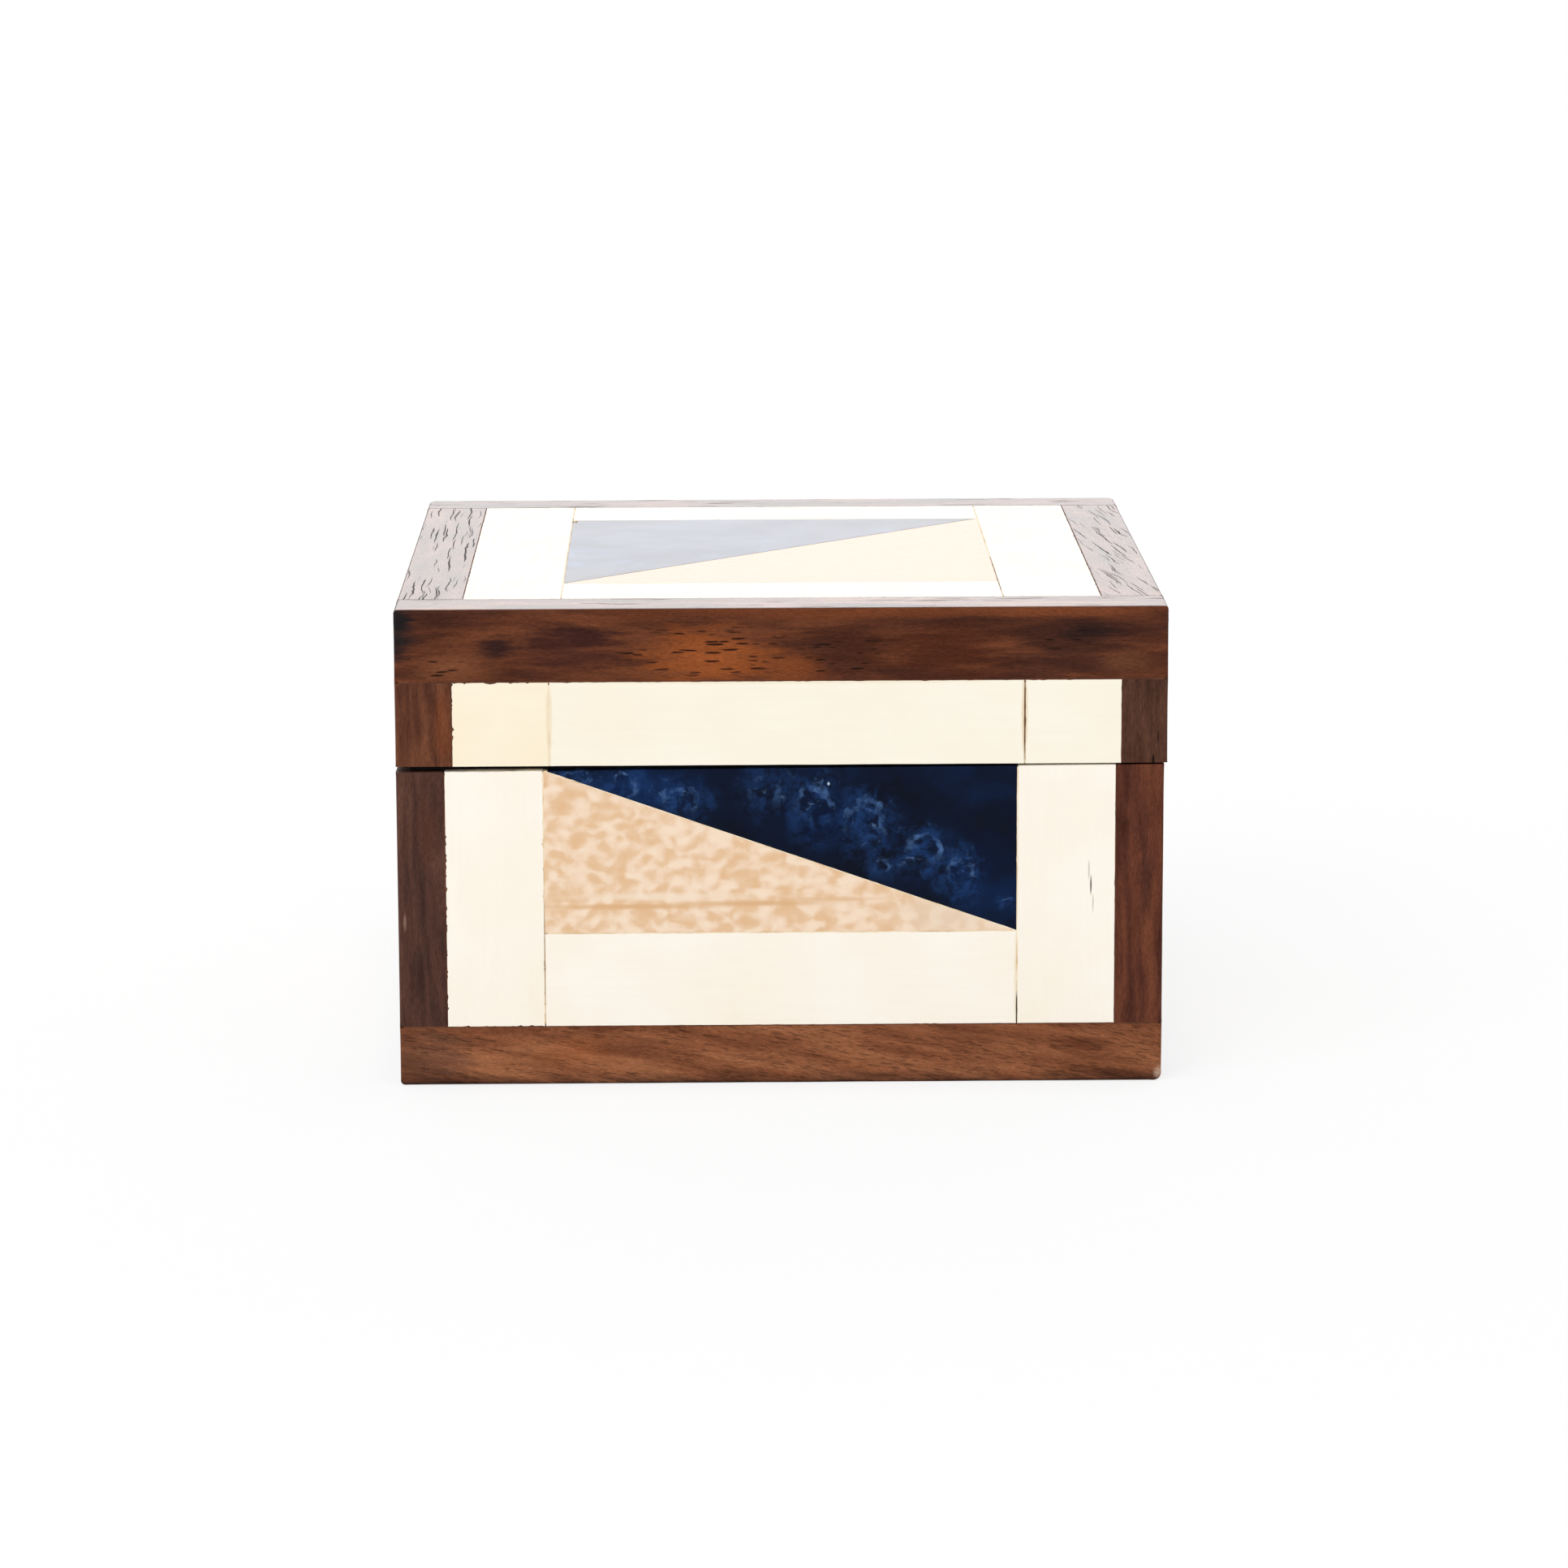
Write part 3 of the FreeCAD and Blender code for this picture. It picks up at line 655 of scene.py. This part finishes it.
def glue_lines(woods, pales, limit, diagonal=None):
    """The joint lines between strips that lie a glue line apart, kept inside limit.

    Each is its start, its end, and whether it runs beside wood.
    """
    lines = []
    strips = [(rect, True) for rect in woods] + [(rect, False) for rect in pales]
    for one, one_wood in strips:
        for other, other_wood in strips:
            left, right, low, high = overlap(grown(one, GLUE_LINE / 2), grown(other, GLUE_LINE / 2), limit)
            beside = abs(other.left - one.right - GLUE_LINE) < GLUE_SLACK
            above = abs(other.low - one.high - GLUE_LINE) < GLUE_SLACK
            if beside and high - low > SHORTEST_GLUE:
                across = (one.right + other.left) / 2
                lines.append(((across, low), (across, high), one_wood or other_wood))
            if above and right - left > SHORTEST_GLUE:
                height = (one.high + other.low) / 2
                lines.append(((left, height), (right, height), one_wood or other_wood))
    if diagonal:
        lines.append((*diagonal, False))
    return lines


def glue_piece(name, body, faces):
    """The glue in every joint line of one body, a little below the strips' faces and under their edges."""
    whole = bmesh.new()
    for side, lines, notches in faces:
        for start, end, beside_wood in lines:
            start, end = Vector(start), Vector(end)
            run = (end - start).normalized()
            aside = Vector((-run.y, run.x)) * GLUE_REACH
            sunk = GLUE_SUNK * (1 + UPRIGHT_SUNK * abs(run.y))
            bm = bmesh.new()
            outline = (start - aside, end - aside, end + aside, start + aside)
            bm.faces.new([bm.verts.new((*point, -sunk)) for point in outline])
            cut_notches(bm, notches)
            thicken(bm, GLUE_DEPTH)
            for face in bm.faces:
                face.material_index = 1 if beside_wood else 0
            bm.transform(side.matrix)
            pour(bm, whole)
    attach(placed(name, whole, PALE_GLUE, DARK_GLUE), body)


def front_spot(x, z, half_x, half_z):
    """The centre and the half sizes of a place on the front of the box."""
    return (x, -HALF_DEPTH, z), (half_x, PATCH_DEPTH, half_z)


def on_front(*rows):
    """Patches on the front of the box. A row is shade, amount, x, z, half width and half height."""
    return tuple(Patch(shade, amount, *front_spot(*place)) for shade, amount, *place in rows)


# Dark wood: its tones from the darkest to the lightest, and the stains, painted shade and pores of the
# front
ROSE = ((58, 33, 27), (86, 49, 35), (112, 67, 43))
DUSKY = ((60, 40, 35), (80, 53, 45), (94, 63, 52))
WARM = ((104, 60, 39), (131, 80, 53), (156, 101, 69))
RED = ((64, 33, 25), (90, 50, 37), (108, 62, 43))
LID_RAIL_TONE = ((64, 35, 26), (86, 47, 31), (106, 60, 38))
LID_LEFT_TONE = ((66, 36, 26), (94, 56, 40), (114, 70, 48))
LID_RIGHT_TONE = ((58, 36, 29), (78, 50, 39), (92, 60, 46))
TOP_TONE = ((78, 45, 35), (106, 65, 50), (132, 86, 68))
TOP_FRONT_TONE = ((54, 28, 20), (104, 62, 48), (150, 100, 80))
TOP_BACK_TONE = ((44, 19, 13), (88, 47, 35), (120, 72, 55))
TOP_SHEEN = {"IOR": 1.5, "gloss": (0.32, 0.26), "relief": 0.012}
TOP_RAIL = {"pores": 0.5, "pore_size": (9.0, 0.4), **TOP_SHEEN}
SIDE_RAIL = {"pores": 0.45, "pore_size": (3.0, 0.36), "pore_ink": 0.8}
LID_RAIL_MARKS = on_front(
    ((148, 80, 40), 0.95, -9.0, 57.3, 12.0, 5.5), ((138, 74, 38), 0.65, 1.0, 56.2, 7.0, 3.0),
    ((74, 39, 30), 0.85, -28.5, 58.6, 9.5, 4.0), ((42, 25, 25), 0.9, -37.0, 58.9, 3.8, 2.2),
    ((54, 28, 26), 0.8, -27.4, 60.5, 11.0, 2.0), ((120, 72, 46), 0.85, -43.0, 56.4, 7.0, 2.8),
    ((70, 37, 25), 0.85, 9.0, 58.6, 7.0, 4.5), ((76, 38, 23), 0.9, 22.0, 58.0, 13.0, 5.5),
    ((64, 36, 28), 0.8, 38.0, 58.0, 12.0, 6.0), ((42, 26, 23), 0.9, 41.0, 60.6, 5.5, 1.9),
    ((108, 66, 44), 0.6, 45.0, 56.6, 5.0, 1.8), ((112, 60, 34), 0.8, 8.0, 63.6, 44.0, 1.5),
    ((32, 28, 30), 0.95, -51.0, 60.6, 4.4, 5.2), ((30, 26, 28), 0.95, -50.2, 62.6, 3.0, 2.2),
    ((124, 68, 40), 0.8, 37.0, 63.4, 15.0, 1.2))
LID_RAIL_PORES = (front_spot(-9.0, 58.2, 15.0, 4.6), front_spot(-45.0, 56.6, 5.0, 2.0),
                  front_spot(8.0, 57.5, 8.0, 3.5), front_spot(36.0, 60.0, 7.0, 2.0))
LID_LEFT_MARKS = on_front(((122, 66, 38), 0.6, -44.4, 48.0, 1.5, 7.0),
                          ((72, 40, 30), 0.5, -47.6, 49.0, 1.6, 5.0))
# Painted shade: a dark band along the base's upper edge at the seam on the left, where the lid's shade
# falls.
SEAM_SHADE = on_front(((44, 33, 26), 0.9, -40.0, 42.75, 14.0, 0.42))
BASE_LEFT_MARKS_AND_SHADE = SEAM_SHADE + on_front(((152, 120, 106), 0.6, -49.7, 22.2, 0.3, 1.5),
                                        ((92, 56, 44), 0.5, -46.5, 34.0, 1.6, 7.0))
BASE_RIGHT_MARKS = on_front(((60, 35, 30), 0.6, 48.3, 28.0, 1.0, 9.0))
# Tone patches, a pale knocked corner, and painted shadow: a darker band along the foot and a near-black
# contact line.
BASE_RAIL_MARKS_AND_SHADOW = on_front(
    ((96, 66, 52), 0.6, -46.0, 4.0, 8.0, 6.0), ((148, 86, 50), 0.5, -27.0, 4.5, 7.0, 2.5),
    ((72, 45, 34), 0.6, 0.0, 0.0, 200.0, 2.2), ((44, 28, 22), 0.85, 0.0, -0.2, 200.0, 0.85),
    ((196, 168, 148), 0.7, 50.2, 1.3, 0.9, 1.3))
WOOD = {
    "lid_rail": dark_wood("lid_front_rail_wood", "xzy", 3.1, LID_RAIL_TONE, patches=LID_RAIL_MARKS,
                          pores=1.6, pore_size=(3.0, 0.4), pore_spots=LID_RAIL_PORES),
    "lid_left": dark_wood("lid_front_left_wood", "zxy", 5.3, LID_LEFT_TONE, patches=LID_LEFT_MARKS),
    "lid_right": dark_wood("lid_front_right_wood", "zxy", 7.7, LID_RIGHT_TONE),
    "base_left": dark_wood("base_front_left_wood", "zxy", 2.4, DUSKY, patches=BASE_LEFT_MARKS_AND_SHADE, pores=0.2),
    "base_right": dark_wood("base_front_right_wood", "zxy", 9.2, RED, patches=BASE_RIGHT_MARKS, pores=-0.5),
    "base_rail": dark_wood("base_front_rail_wood", "xzy", 4.6, WARM, tilt=9.0, patches=BASE_RAIL_MARKS_AND_SHADOW,
                           pores=0.8, pore_size=(2.2, 0.2), pore_ink=0.4),
    "top_front": dark_wood("top_front_wood", "xyz", 1.2, TOP_FRONT_TONE, **TOP_RAIL),
    "top_back": dark_wood("top_back_wood", "xyz", 6.5, TOP_BACK_TONE, **TOP_RAIL),
    "top_left": dark_wood("top_left_wood", "yxz", 8.8, TOP_TONE, sway=0.8, pores=0.9,
                          pore_size=(20.0, 0.33), pore_ink=1.0, pore_rows=(0.02, 0.8), meander=1.5,
                          **TOP_SHEEN),
    "top_right": dark_wood("top_right_wood", "yxz", 3.9, TOP_TONE, tilt=7.0, pores=0.88,
                           pore_size=(17.0, 0.3), pore_ink=1.0, pore_rows=(0.03, 0.5), meander=1.4,
                           **TOP_SHEEN),
    "top_edge": dark_wood("top_edge_wood", "yzx", 2.9, ROSE),
    "across_x": dark_wood("back_rail_wood", "xzy", 11.3, ROSE, **SIDE_RAIL),
    "across_y": dark_wood("side_rail_wood", "yzx", 12.1, ROSE, **SIDE_RAIL),
    "upright_x": dark_wood("back_stile_wood", "zxy", 13.6, RED, pores=0.4),
    "upright_y": dark_wood("side_stile_wood", "zyx", 14.2, DUSKY, pores=0.4),
}

# Bone, with a hairline crack in one strip, stains along some joints, and painted shade at the seam on the
# uprights
TOP_GLOSS = {"IOR": 1.45}
BASE_BONE = (255, 249, 238)
YELLOWED_BONE = (253, 242, 219)
HAIRLINE = on_front(
    ((104, 84, 86), 0.4, 40.75, 28.8, 0.12, 1.6), ((78, 60, 66), 0.9, 41.02, 26.6, 0.15, 1.6),
    ((104, 84, 86), 0.5, 41.32, 24.2, 0.11, 1.8))
JOINT_STAINS = on_front(
    ((233, 208, 170), 0.8, 32.15, 49.5, 0.5, 7.0), ((240, 220, 186), 0.6, -30.35, 49.0, 0.6, 7.0),
    ((244, 229, 200), 0.7, 31.25, 14.0, 0.5, 9.0), ((242, 226, 198), 0.5, 2.0, 54.2, 34.0, 0.4))
BONE = {
    "flat_x": bone("bone_along_x", "xzy", 1.0, marks_and_shade=JOINT_STAINS),
    "flat_y": bone("bone_along_y", "yzx", 2.0),
    "base_x": bone("base_bone_along_x", "xzy", 8.0, BASE_BONE, JOINT_STAINS),
    # The upright bones carry the painted shade at the seam.
    "upright": bone("bone_upright", "zxy", 3.0, BASE_BONE, SEAM_SHADE),
    "yellowed": bone("bone_yellowed", "xzy", 4.0, YELLOWED_BONE, JOINT_STAINS),
    "marked": bone("bone_with_hairline", "zxy", 5.0, BASE_BONE, HAIRLINE),
    "top_x": bone("top_bone_along_x", "xyz", 6.0, **TOP_GLOSS),
    "top_y": bone("top_bone_along_y", "yxz", 7.0, **TOP_GLOSS),
}

# Resin: the curls, clouds and specks of the front's blue, and the streaks of its cream
CURLS = tuple((*front_spot(*place), strength) for *place, strength in (
    (-27.0, 41.6, 3.4, 1.2, 0.7), (-20.6, 40.4, 3.0, 2.8, 1.0), (-13.2, 38.6, 4.2, 2.8, 0.95),
    (-2.0, 39.4, 3.6, 3.6, 0.5), (4.2, 37.6, 3.6, 5.0, 0.75), (11.0, 35.4, 4.4, 4.8, 0.8),
    (13.4, 29.4, 2.2, 2.0, 0.6), (18.9, 31.4, 3.8, 3.6, 1.0), (23.6, 28.4, 3.2, 3.8, 0.95),
    (29.6, 24.4, 1.8, 1.0, 0.6)))
BLUE_SPECKS = (front_spot(6.35, 40.55, 0.24, 0.3),)
BLUE_CLOUDS = on_front(
    ((16, 40, 82), 0.6, -19.0, 40.0, 11.0, 4.0), ((8, 24, 56), 0.5, 8.0, 36.0, 14.0, 6.0),
    ((10, 24, 54), 0.5, 27.0, 30.0, 5.0, 6.0))
TOP_CLOUD = (Patch((24, 54, 106), 0.55, (-10.0, 10.0, TOP_FACE), (60.0, 60.0, 9.0)),)
BLUE = {
    "front": blue_resin("blue_resin_front", "xzy", 1.0, CURLS, BLUE_CLOUDS, BLUE_SPECKS),
    "back": blue_resin("blue_resin_back", "xzy", 2.0),
    "side": blue_resin("blue_resin_side", "yzx", 3.0),
    "top": blue_resin("blue_resin_top", "xyz", 4.0, clouds=TOP_CLOUD, **TOP_GLOSS),
}
TOP_CREAM = (238, 200, 187)
CREAM_STREAKS = on_front(
    ((234, 215, 193), 0.65, 23.0, 23.0, 12.0, 4.5), ((246, 226, 203), 0.75, -16.0, 25.5, 20.0, 0.8),
    ((222, 179, 133), 0.95, -20.0, 24.15, 18.0, 0.62), ((222, 180, 135), 0.95, -4.0, 24.5, 15.0, 0.6),
    ((226, 187, 146), 0.85, 7.0, 25.0, 9.0, 0.55))
CREAM = {
    "front": cream_resin("cream_resin_front", "xzy", 1.0, streaks=CREAM_STREAKS),
    "back": cream_resin("cream_resin_back", "xzy", 2.0),
    "side": cream_resin("cream_resin_side", "yzx", 3.0),
    "top": cream_resin("cream_resin_top", "xyz", 4.0, contrast=0.55, **TOP_GLOSS),
}

# Glue, clean to dirty, and the hinges
TAN_LINE = ((248, 235, 210), (238, 217, 183), (200, 164, 122))
DARK_LINE = ((112, 70, 48), (94, 58, 42), (72, 45, 35))
SOILED = (
    *on_front(((96, 66, 44), 0.95, 32.15, 49.0, 0.8, 7.0), ((70, 48, 36), 0.95, 31.25, 9.0, 0.8, 5.0),
              ((150, 110, 76), 0.8, -31.25, 18.0, 0.6, 9.0)),
    Patch((122, 84, 54), 0.85, (30.0, -24.0, TOP_FACE), (1.5, 24.0, 3.0)),
    Patch((52, 42, 36), 0.95, (-30.0, 30.0, TOP_FACE), (2.0, 4.0, 3.0)))
PALE_GLUE = glue("glue_between_bone", TAN_LINE, SOILED)
DARK_GLUE = glue("glue_beside_wood", DARK_LINE)
BRASS = aged_brass("aged_brass")


def strip_nodes(body, name, parts):
    """The CAD nodes of one side's wood strips, and those of its bone strips."""
    if name != "front":
        return [f"{body}_{name}_wood_strips"], [f"{body}_{name}_bone_strips"]
    woods = [f"{body}_front_{part}" for part in parts if "rail" in part or "stile" in part]
    bones = [f"{body}_front_{part}" for part in parts if "bone" in part]
    return woods, bones


def face_strips(body, name, side, rects, finishes, eases, chips, **more):
    """Sets wood and bone strips on one side: one by one on the front, as its CAD nodes are, or by kind."""
    strips = {part: Strip(corners_of(rect), finishes[part], eases[part], chips.get(part, WOOD_CHIPS))
              for part, rect in rects.items()}
    if name == "front":
        for part, strip in strips.items():
            facing(f"{body}_front_{part}", side, [strip], **more)
    else:
        for kind in ("wood", "bone"):
            chosen = [strip for part, strip in strips.items() if ("bone" in part) == (kind == "bone")]
            facing(f"{body}_{name}_{kind}_strips", side, chosen, **more)


def stiles_beside(inner, whole):
    """The two wood stiles between the bone and the ends of one side."""
    return {"left_stile": inner._replace(left=whole.left, right=inner.left - GLUE_LINE),
            "right_stile": inner._replace(left=inner.right + GLUE_LINE, right=whole.right)}


def base_side(name, side, finishes, corner, notches=(), rim=(0, 0), gap=0.0):
    """The facing of one side of the base; corner is the ease of its two upright outer edges."""
    blue, cream = f"base_{name}_blue_resin", f"base_{name}_cream_resin"
    whole, inner = (side.rect(*nodes) for nodes in strip_nodes("base", name, finishes))
    panel = side.rect(blue, cream)
    woods = {"rail": whole._replace(high=inner.low - GLUE_LINE), **stiles_beside(inner, whole)}
    bones = {
        "left_bone": inner._replace(right=panel.left - GLUE_LINE),
        "right_bone": inner._replace(left=panel.right + GLUE_LINE),
        "bottom_bone": panel._replace(low=inner.low, high=panel.low - GLUE_LINE),
    }
    top = {"high": SEAM_EASE}
    eases = {"rail": {"low": OUTER, "foot": FOOT_CORNER, "left": corner, "right": corner},
             "left_stile": {"left": corner, **top}, "right_stile": {"right": corner, **top},
             "left_bone": top, "right_bone": top, "bottom_bone": {}}
    rects = {**woods, **bones, "right_bone": opened(bones["right_bone"], gap)}
    more = {"notches": notches, "rim": rim}
    face_strips("base", name, side, rects, finishes, eases, BASE_CHIPS, **more)
    blue_box = panel._replace(left=panel.left + SPLIT_ACROSS, low=panel.low + SPLIT_UP)
    cream_box = panel._replace(right=panel.right - SPLIT_ACROSS, high=panel.high - SPLIT_UP)
    back = BLUNT_TIP * (panel.right - panel.left) / (panel.high - panel.low)
    tip = blue_box.high + rim_shift(rim, blue_box.left) - BLUNT_TIP
    blue_outline = [(blue_box.left + back, blue_box.high), (blue_box.left + back, tip),
                    (blue_box.right, blue_box.low), (blue_box.right, blue_box.high)]
    cream_outline = [(cream_box.left, cream_box.low), (cream_box.right - back, cream_box.low),
                     (cream_box.right - back, cream_box.low + BLUNT_TIP), (cream_box.left, cream_box.high)]
    facing(blue, side, [Strip(blue_outline, finishes["blue"], top, BASE_CHIPS["blue"])], **more)
    facing(cream, side, [Strip(cream_outline, finishes["cream"], top, BASE_CHIPS["cream"])], **more)
    split = halfway(cream_box, blue_box)
    diagonal = ((split.left, split.high), (split.right, split.low))
    limit = Rect(whole.left + corner, whole.right - corner, whole.low, whole.high)
    lines = []
    for start, end, beside_wood in glue_lines(woods.values(), [*bones.values(), panel], limit, diagonal):
        if end[1] > whole.high - SAME_PLACE:
            end = (end[0], whole.high + rim_shift(rim, end[0]) - 2 * SEAM_EASE)
        lines.append((start, end, beside_wood))
    rim_height = whole.high + rim_shift(rim, panel.left) - SEAM_EASE
    over_rim = Rect(panel.left - RIM_CUT[0], panel.left + RIM_CUT[1], rim_height, whole.high + RIM_CUT[0])
    return side, lines, (*notches, over_rim)


def lid_side(name, side, finishes, corner, notches=(), gap=0.0):
    """The facing of one side of the lid: a rail above, stiles at the ends and three bone pieces."""
    whole, inner = (side.rect(*nodes) for nodes in strip_nodes("lid", name, finishes))
    square = FRONT.rect("lid_front_left_bone")
    left_end = inner.left + (square.right - square.left)
    right_end = inner.right - (square.right - square.left)
    woods = {"rail": whole._replace(low=inner.high + GLUE_LINE), **stiles_beside(inner, whole)}
    bones = {
        "left_bone": inner._replace(right=left_end),
        "middle_bone": inner._replace(left=left_end + GLUE_LINE, right=right_end - GLUE_LINE),
        "right_bone": inner._replace(left=right_end),
    }
    foot = {"low": SEAM_EASE}
    eases = {"rail": {"left": corner, "right": corner, "high": FLUSH},
             "left_stile": {"left": corner, **foot}, "right_stile": {"right": corner, **foot},
             "left_bone": foot, "middle_bone": foot, "right_bone": foot}
    rects = {**woods, **bones, "right_bone": opened(bones["right_bone"], gap)}
    face_strips("lid", name, side, rects, finishes, eases, LID_CHIPS, notches=notches)
    limit = Rect(whole.left + corner, whole.right - corner, whole.low + SEAM_EASE, whole.high)
    return side, glue_lines(woods.values(), bones.values(), limit), notches


def lid_top():
    """The facing of the lid's top: wood round the edge, bone inside it, and the split resin panel."""
    front = {"low": OUTER, "left": OUTER, "right": OUTER}
    back = {"high": OUTER, "left": OUTER, "right": OUTER, "corners": BACK_CORNER}
    woods, pales = [], [TOP.rect("top_blue_resin", "top_cream_resin")]
    for node, finish, edge, eases in (
            ("top_front_rail", WOOD["top_front"], WOOD["lid_rail"], front),
            ("top_back_rail", WOOD["top_back"], WOOD["across_x"], back),
            ("top_left_stile", WOOD["top_left"], WOOD["top_edge"], {"left": OUTER}),
            ("top_right_stile", WOOD["top_right"], WOOD["top_edge"], {"right": OUTER}),
            ("top_left_bone", BONE["top_y"], None, {}), ("top_right_bone", BONE["top_y"], None, {}),
            ("top_front_bone", BONE["top_x"], None, {}), ("top_back_bone", BONE["top_x"], None, {})):
        rect = TOP.rect(node)
        (woods if edge else pales).append(rect)
        chips = WOOD_CHIPS if edge else TOP_CHIPS["bone"]
        facing(node, TOP, [Strip(corners_of(rect), finish, eases, chips, edge)])
    blue, cream = TOP.rect("top_blue_resin"), TOP.rect("top_cream_resin")
    notch_width, notch_height = TOP_NOTCH
    notch_low = blue.high - notch_height
    blue_outline = [(blue.left, blue.low), (blue.right, blue.high), (blue.left + notch_width, blue.high),
                    (blue.left + TOP_NOTCH_FOOT * notch_width, notch_low), (blue.left, notch_low)]
    cream_outline = [(cream.left, cream.low), (cream.right, cream.low), (cream.right, cream.high)]
    facing("top_blue_resin", TOP, [Strip(blue_outline, BLUE["top"], {}, TOP_CHIPS["blue"])])
    facing("top_cream_resin", TOP, [Strip(cream_outline, CREAM["top"], {}, TOP_CHIPS["cream"])])
    split = halfway(cream, blue)
    diagonal = ((split.left, split.low), (split.right, split.high))
    limit = grown(TOP.rect("top_front_rail", "top_back_rail"), -OUTER)
    return TOP, glue_lines(woods, pales, limit, diagonal), ()


HINGE_NOTCHES = [grown(BACK.rect(f"{hand}_hinge_base_leaf", f"{hand}_hinge_lid_leaf"), NOTCH_ROOM)
                 for hand in ("left", "right")]
BASE_FRONT = {"rail": WOOD["base_rail"], "left_stile": WOOD["base_left"], "right_stile": WOOD["base_right"],
              "left_bone": BONE["upright"], "right_bone": BONE["marked"], "bottom_bone": BONE["base_x"],
              "blue": BLUE["front"], "cream": CREAM["front"]}
LID_FRONT = {"rail": WOOD["lid_rail"], "left_stile": WOOD["lid_left"], "right_stile": WOOD["lid_right"],
             "left_bone": BONE["yellowed"], "middle_bone": BONE["flat_x"], "right_bone": BONE["flat_x"]}
base_glue = [base_side("front", FRONT, BASE_FRONT, OUTER, rim=(RIM_LEFT, RIM_RIGHT), gap=BASE_GAP)]
lid_glue = [lid_side("front", FRONT, LID_FRONT, OUTER, gap=LID_GAP), lid_top()]
for name, base_face, lid_face, notches, rim in (
        ("left", LEFT, LEFT, (), (0, RIM_LEFT)), ("right", RIGHT, LID_RIGHT, (), (RIM_RIGHT, 0)),
        ("back", BACK, BACK, HINGE_NOTCHES, (0, 0))):
    run, resin, corner = ("x", "back", OUTER) if name == "back" else ("y", "side", JOINT_EASE)
    flat, upright = BONE["flat_" + run], WOOD["upright_" + run]
    base_finishes = {"rail": WOOD["across_" + run], "left_stile": upright, "right_stile": upright,
                     "left_bone": BONE["upright"], "right_bone": BONE["upright"], "bottom_bone": flat,
                     "blue": BLUE[resin], "cream": CREAM[resin]}
    lid_finishes = {**base_finishes, "left_bone": flat, "middle_bone": flat, "right_bone": flat}
    base_glue.append(base_side(name, base_face, base_finishes, corner, notches, rim))
    lid_glue.append(lid_side(name, lid_face, lid_finishes, corner, notches))
glue_piece("base_joint_glue", "base", base_glue)
glue_piece("lid_joint_glue", "lid", lid_glue)

BOARDS = {"x": carcass_wood("board_along_x", "xzy", 1.5), "y": carcass_wood("board_along_y", "yzx", 2.5),
          "flat": carcass_wood("board_laid_flat", "xyz", 3.5)}
for node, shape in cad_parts.items():
    if node.endswith("_board"):
        finish = BOARDS["x" if "front" in node or "back" in node else "y"]
    elif node in ("base_floor", "lid_top_panel"):
        finish = BOARDS["flat"]
    elif "hinge" in node:
        finish = BRASS
    else:
        continue
    shape.data.materials.clear()
    shape.data.materials.append(finish)


def studio_floor():
    """A sheet of white paper that fills the view, and shows as plain white far behind the box."""
    paper = Finish("white_paper", IOR=1.1)
    fibres = paper.noise(paper.place, 0.2, detail=2.0)
    paper.close(paper.shades(fibres, (0.3, (0.98, 0.98, 0.99, 1)), (0.7, (0.99, 0.99, 1.0, 1))), 0.9)
    _, deep, _ = paper.add("SeparateXYZ", {0: paper.place}).outputs
    lift = paper.times(paper.seen(), paper.level(deep, *PAPER_FADE, PAPER_LIFT, 1.0))
    white = paper.add("Emission", {"Color": WHITE, "Strength": 1.0}).outputs[0]
    lifted = paper.add("MixShader", {0: lift, 1: paper.shader.outputs[0], 2: white}).outputs[0]
    paper.put(paper.tree.nodes["Material Output"], {"Surface": lifted})
    sheet = bmesh.new()
    bmesh.ops.create_grid(sheet, x_segments=2, y_segments=2, size=FLOOR_SIZE)
    floor = placed("studio_floor", sheet, paper.material)


def studio_light(name, place, aim, size, watts):
    """A lit rectangle that the camera itself doesn't see."""
    lamp = bpy.data.lights.new(name, "AREA")
    lamp.shape = "RECTANGLE"
    lamp.size, lamp.size_y = size
    lamp.energy = watts
    holder = in_scene(name, lamp)
    holder.location = place
    holder.rotation_euler = (Vector(aim) - Vector(place)).to_track_quat("-Z", "Y").to_euler()
    holder.visible_camera = False


def studio_world():
    """White all round, dimmer as light on the box than as the picture shows it."""
    world = bpy.data.worlds.new("studio")
    bpy.context.scene.world = world
    world.use_nodes = True
    sky = Nodes(world.node_tree)
    strength = sky.level(sky.seen(), 0.0, 1.0, AMBIENT, 1.0)
    sky.put(sky.tree.nodes["Background"], {"Color": WHITE, "Strength": strength})


def photo_camera():
    """The camera where the photograph was taken from."""
    lens = bpy.data.cameras.new("photo_camera")
    lens.lens, lens.sensor_width = CAMERA_LENS, CAMERA_SENSOR
    camera = in_scene("photo_camera", lens)
    view = Matrix.Translation(Vector(CAMERA_TARGET) * MM)
    for angle, axis in ((CAMERA_AZIMUTH, "Z"), (90 - CAMERA_ELEVATION, "X"), (CAMERA_ROLL, "Z")):
        view = view @ Matrix.Rotation(math.radians(angle), 4, axis)
    camera.matrix_world = view @ Matrix.Translation((0, 0, CAMERA_DISTANCE * MM))
    bpy.context.scene.camera = camera


studio_floor()
studio_world()
studio_light("key_window", **KEY_WINDOW)
studio_light("back_card", **BACK_CARD)
photo_camera()
bpy.context.scene.view_settings.view_transform = "Standard"
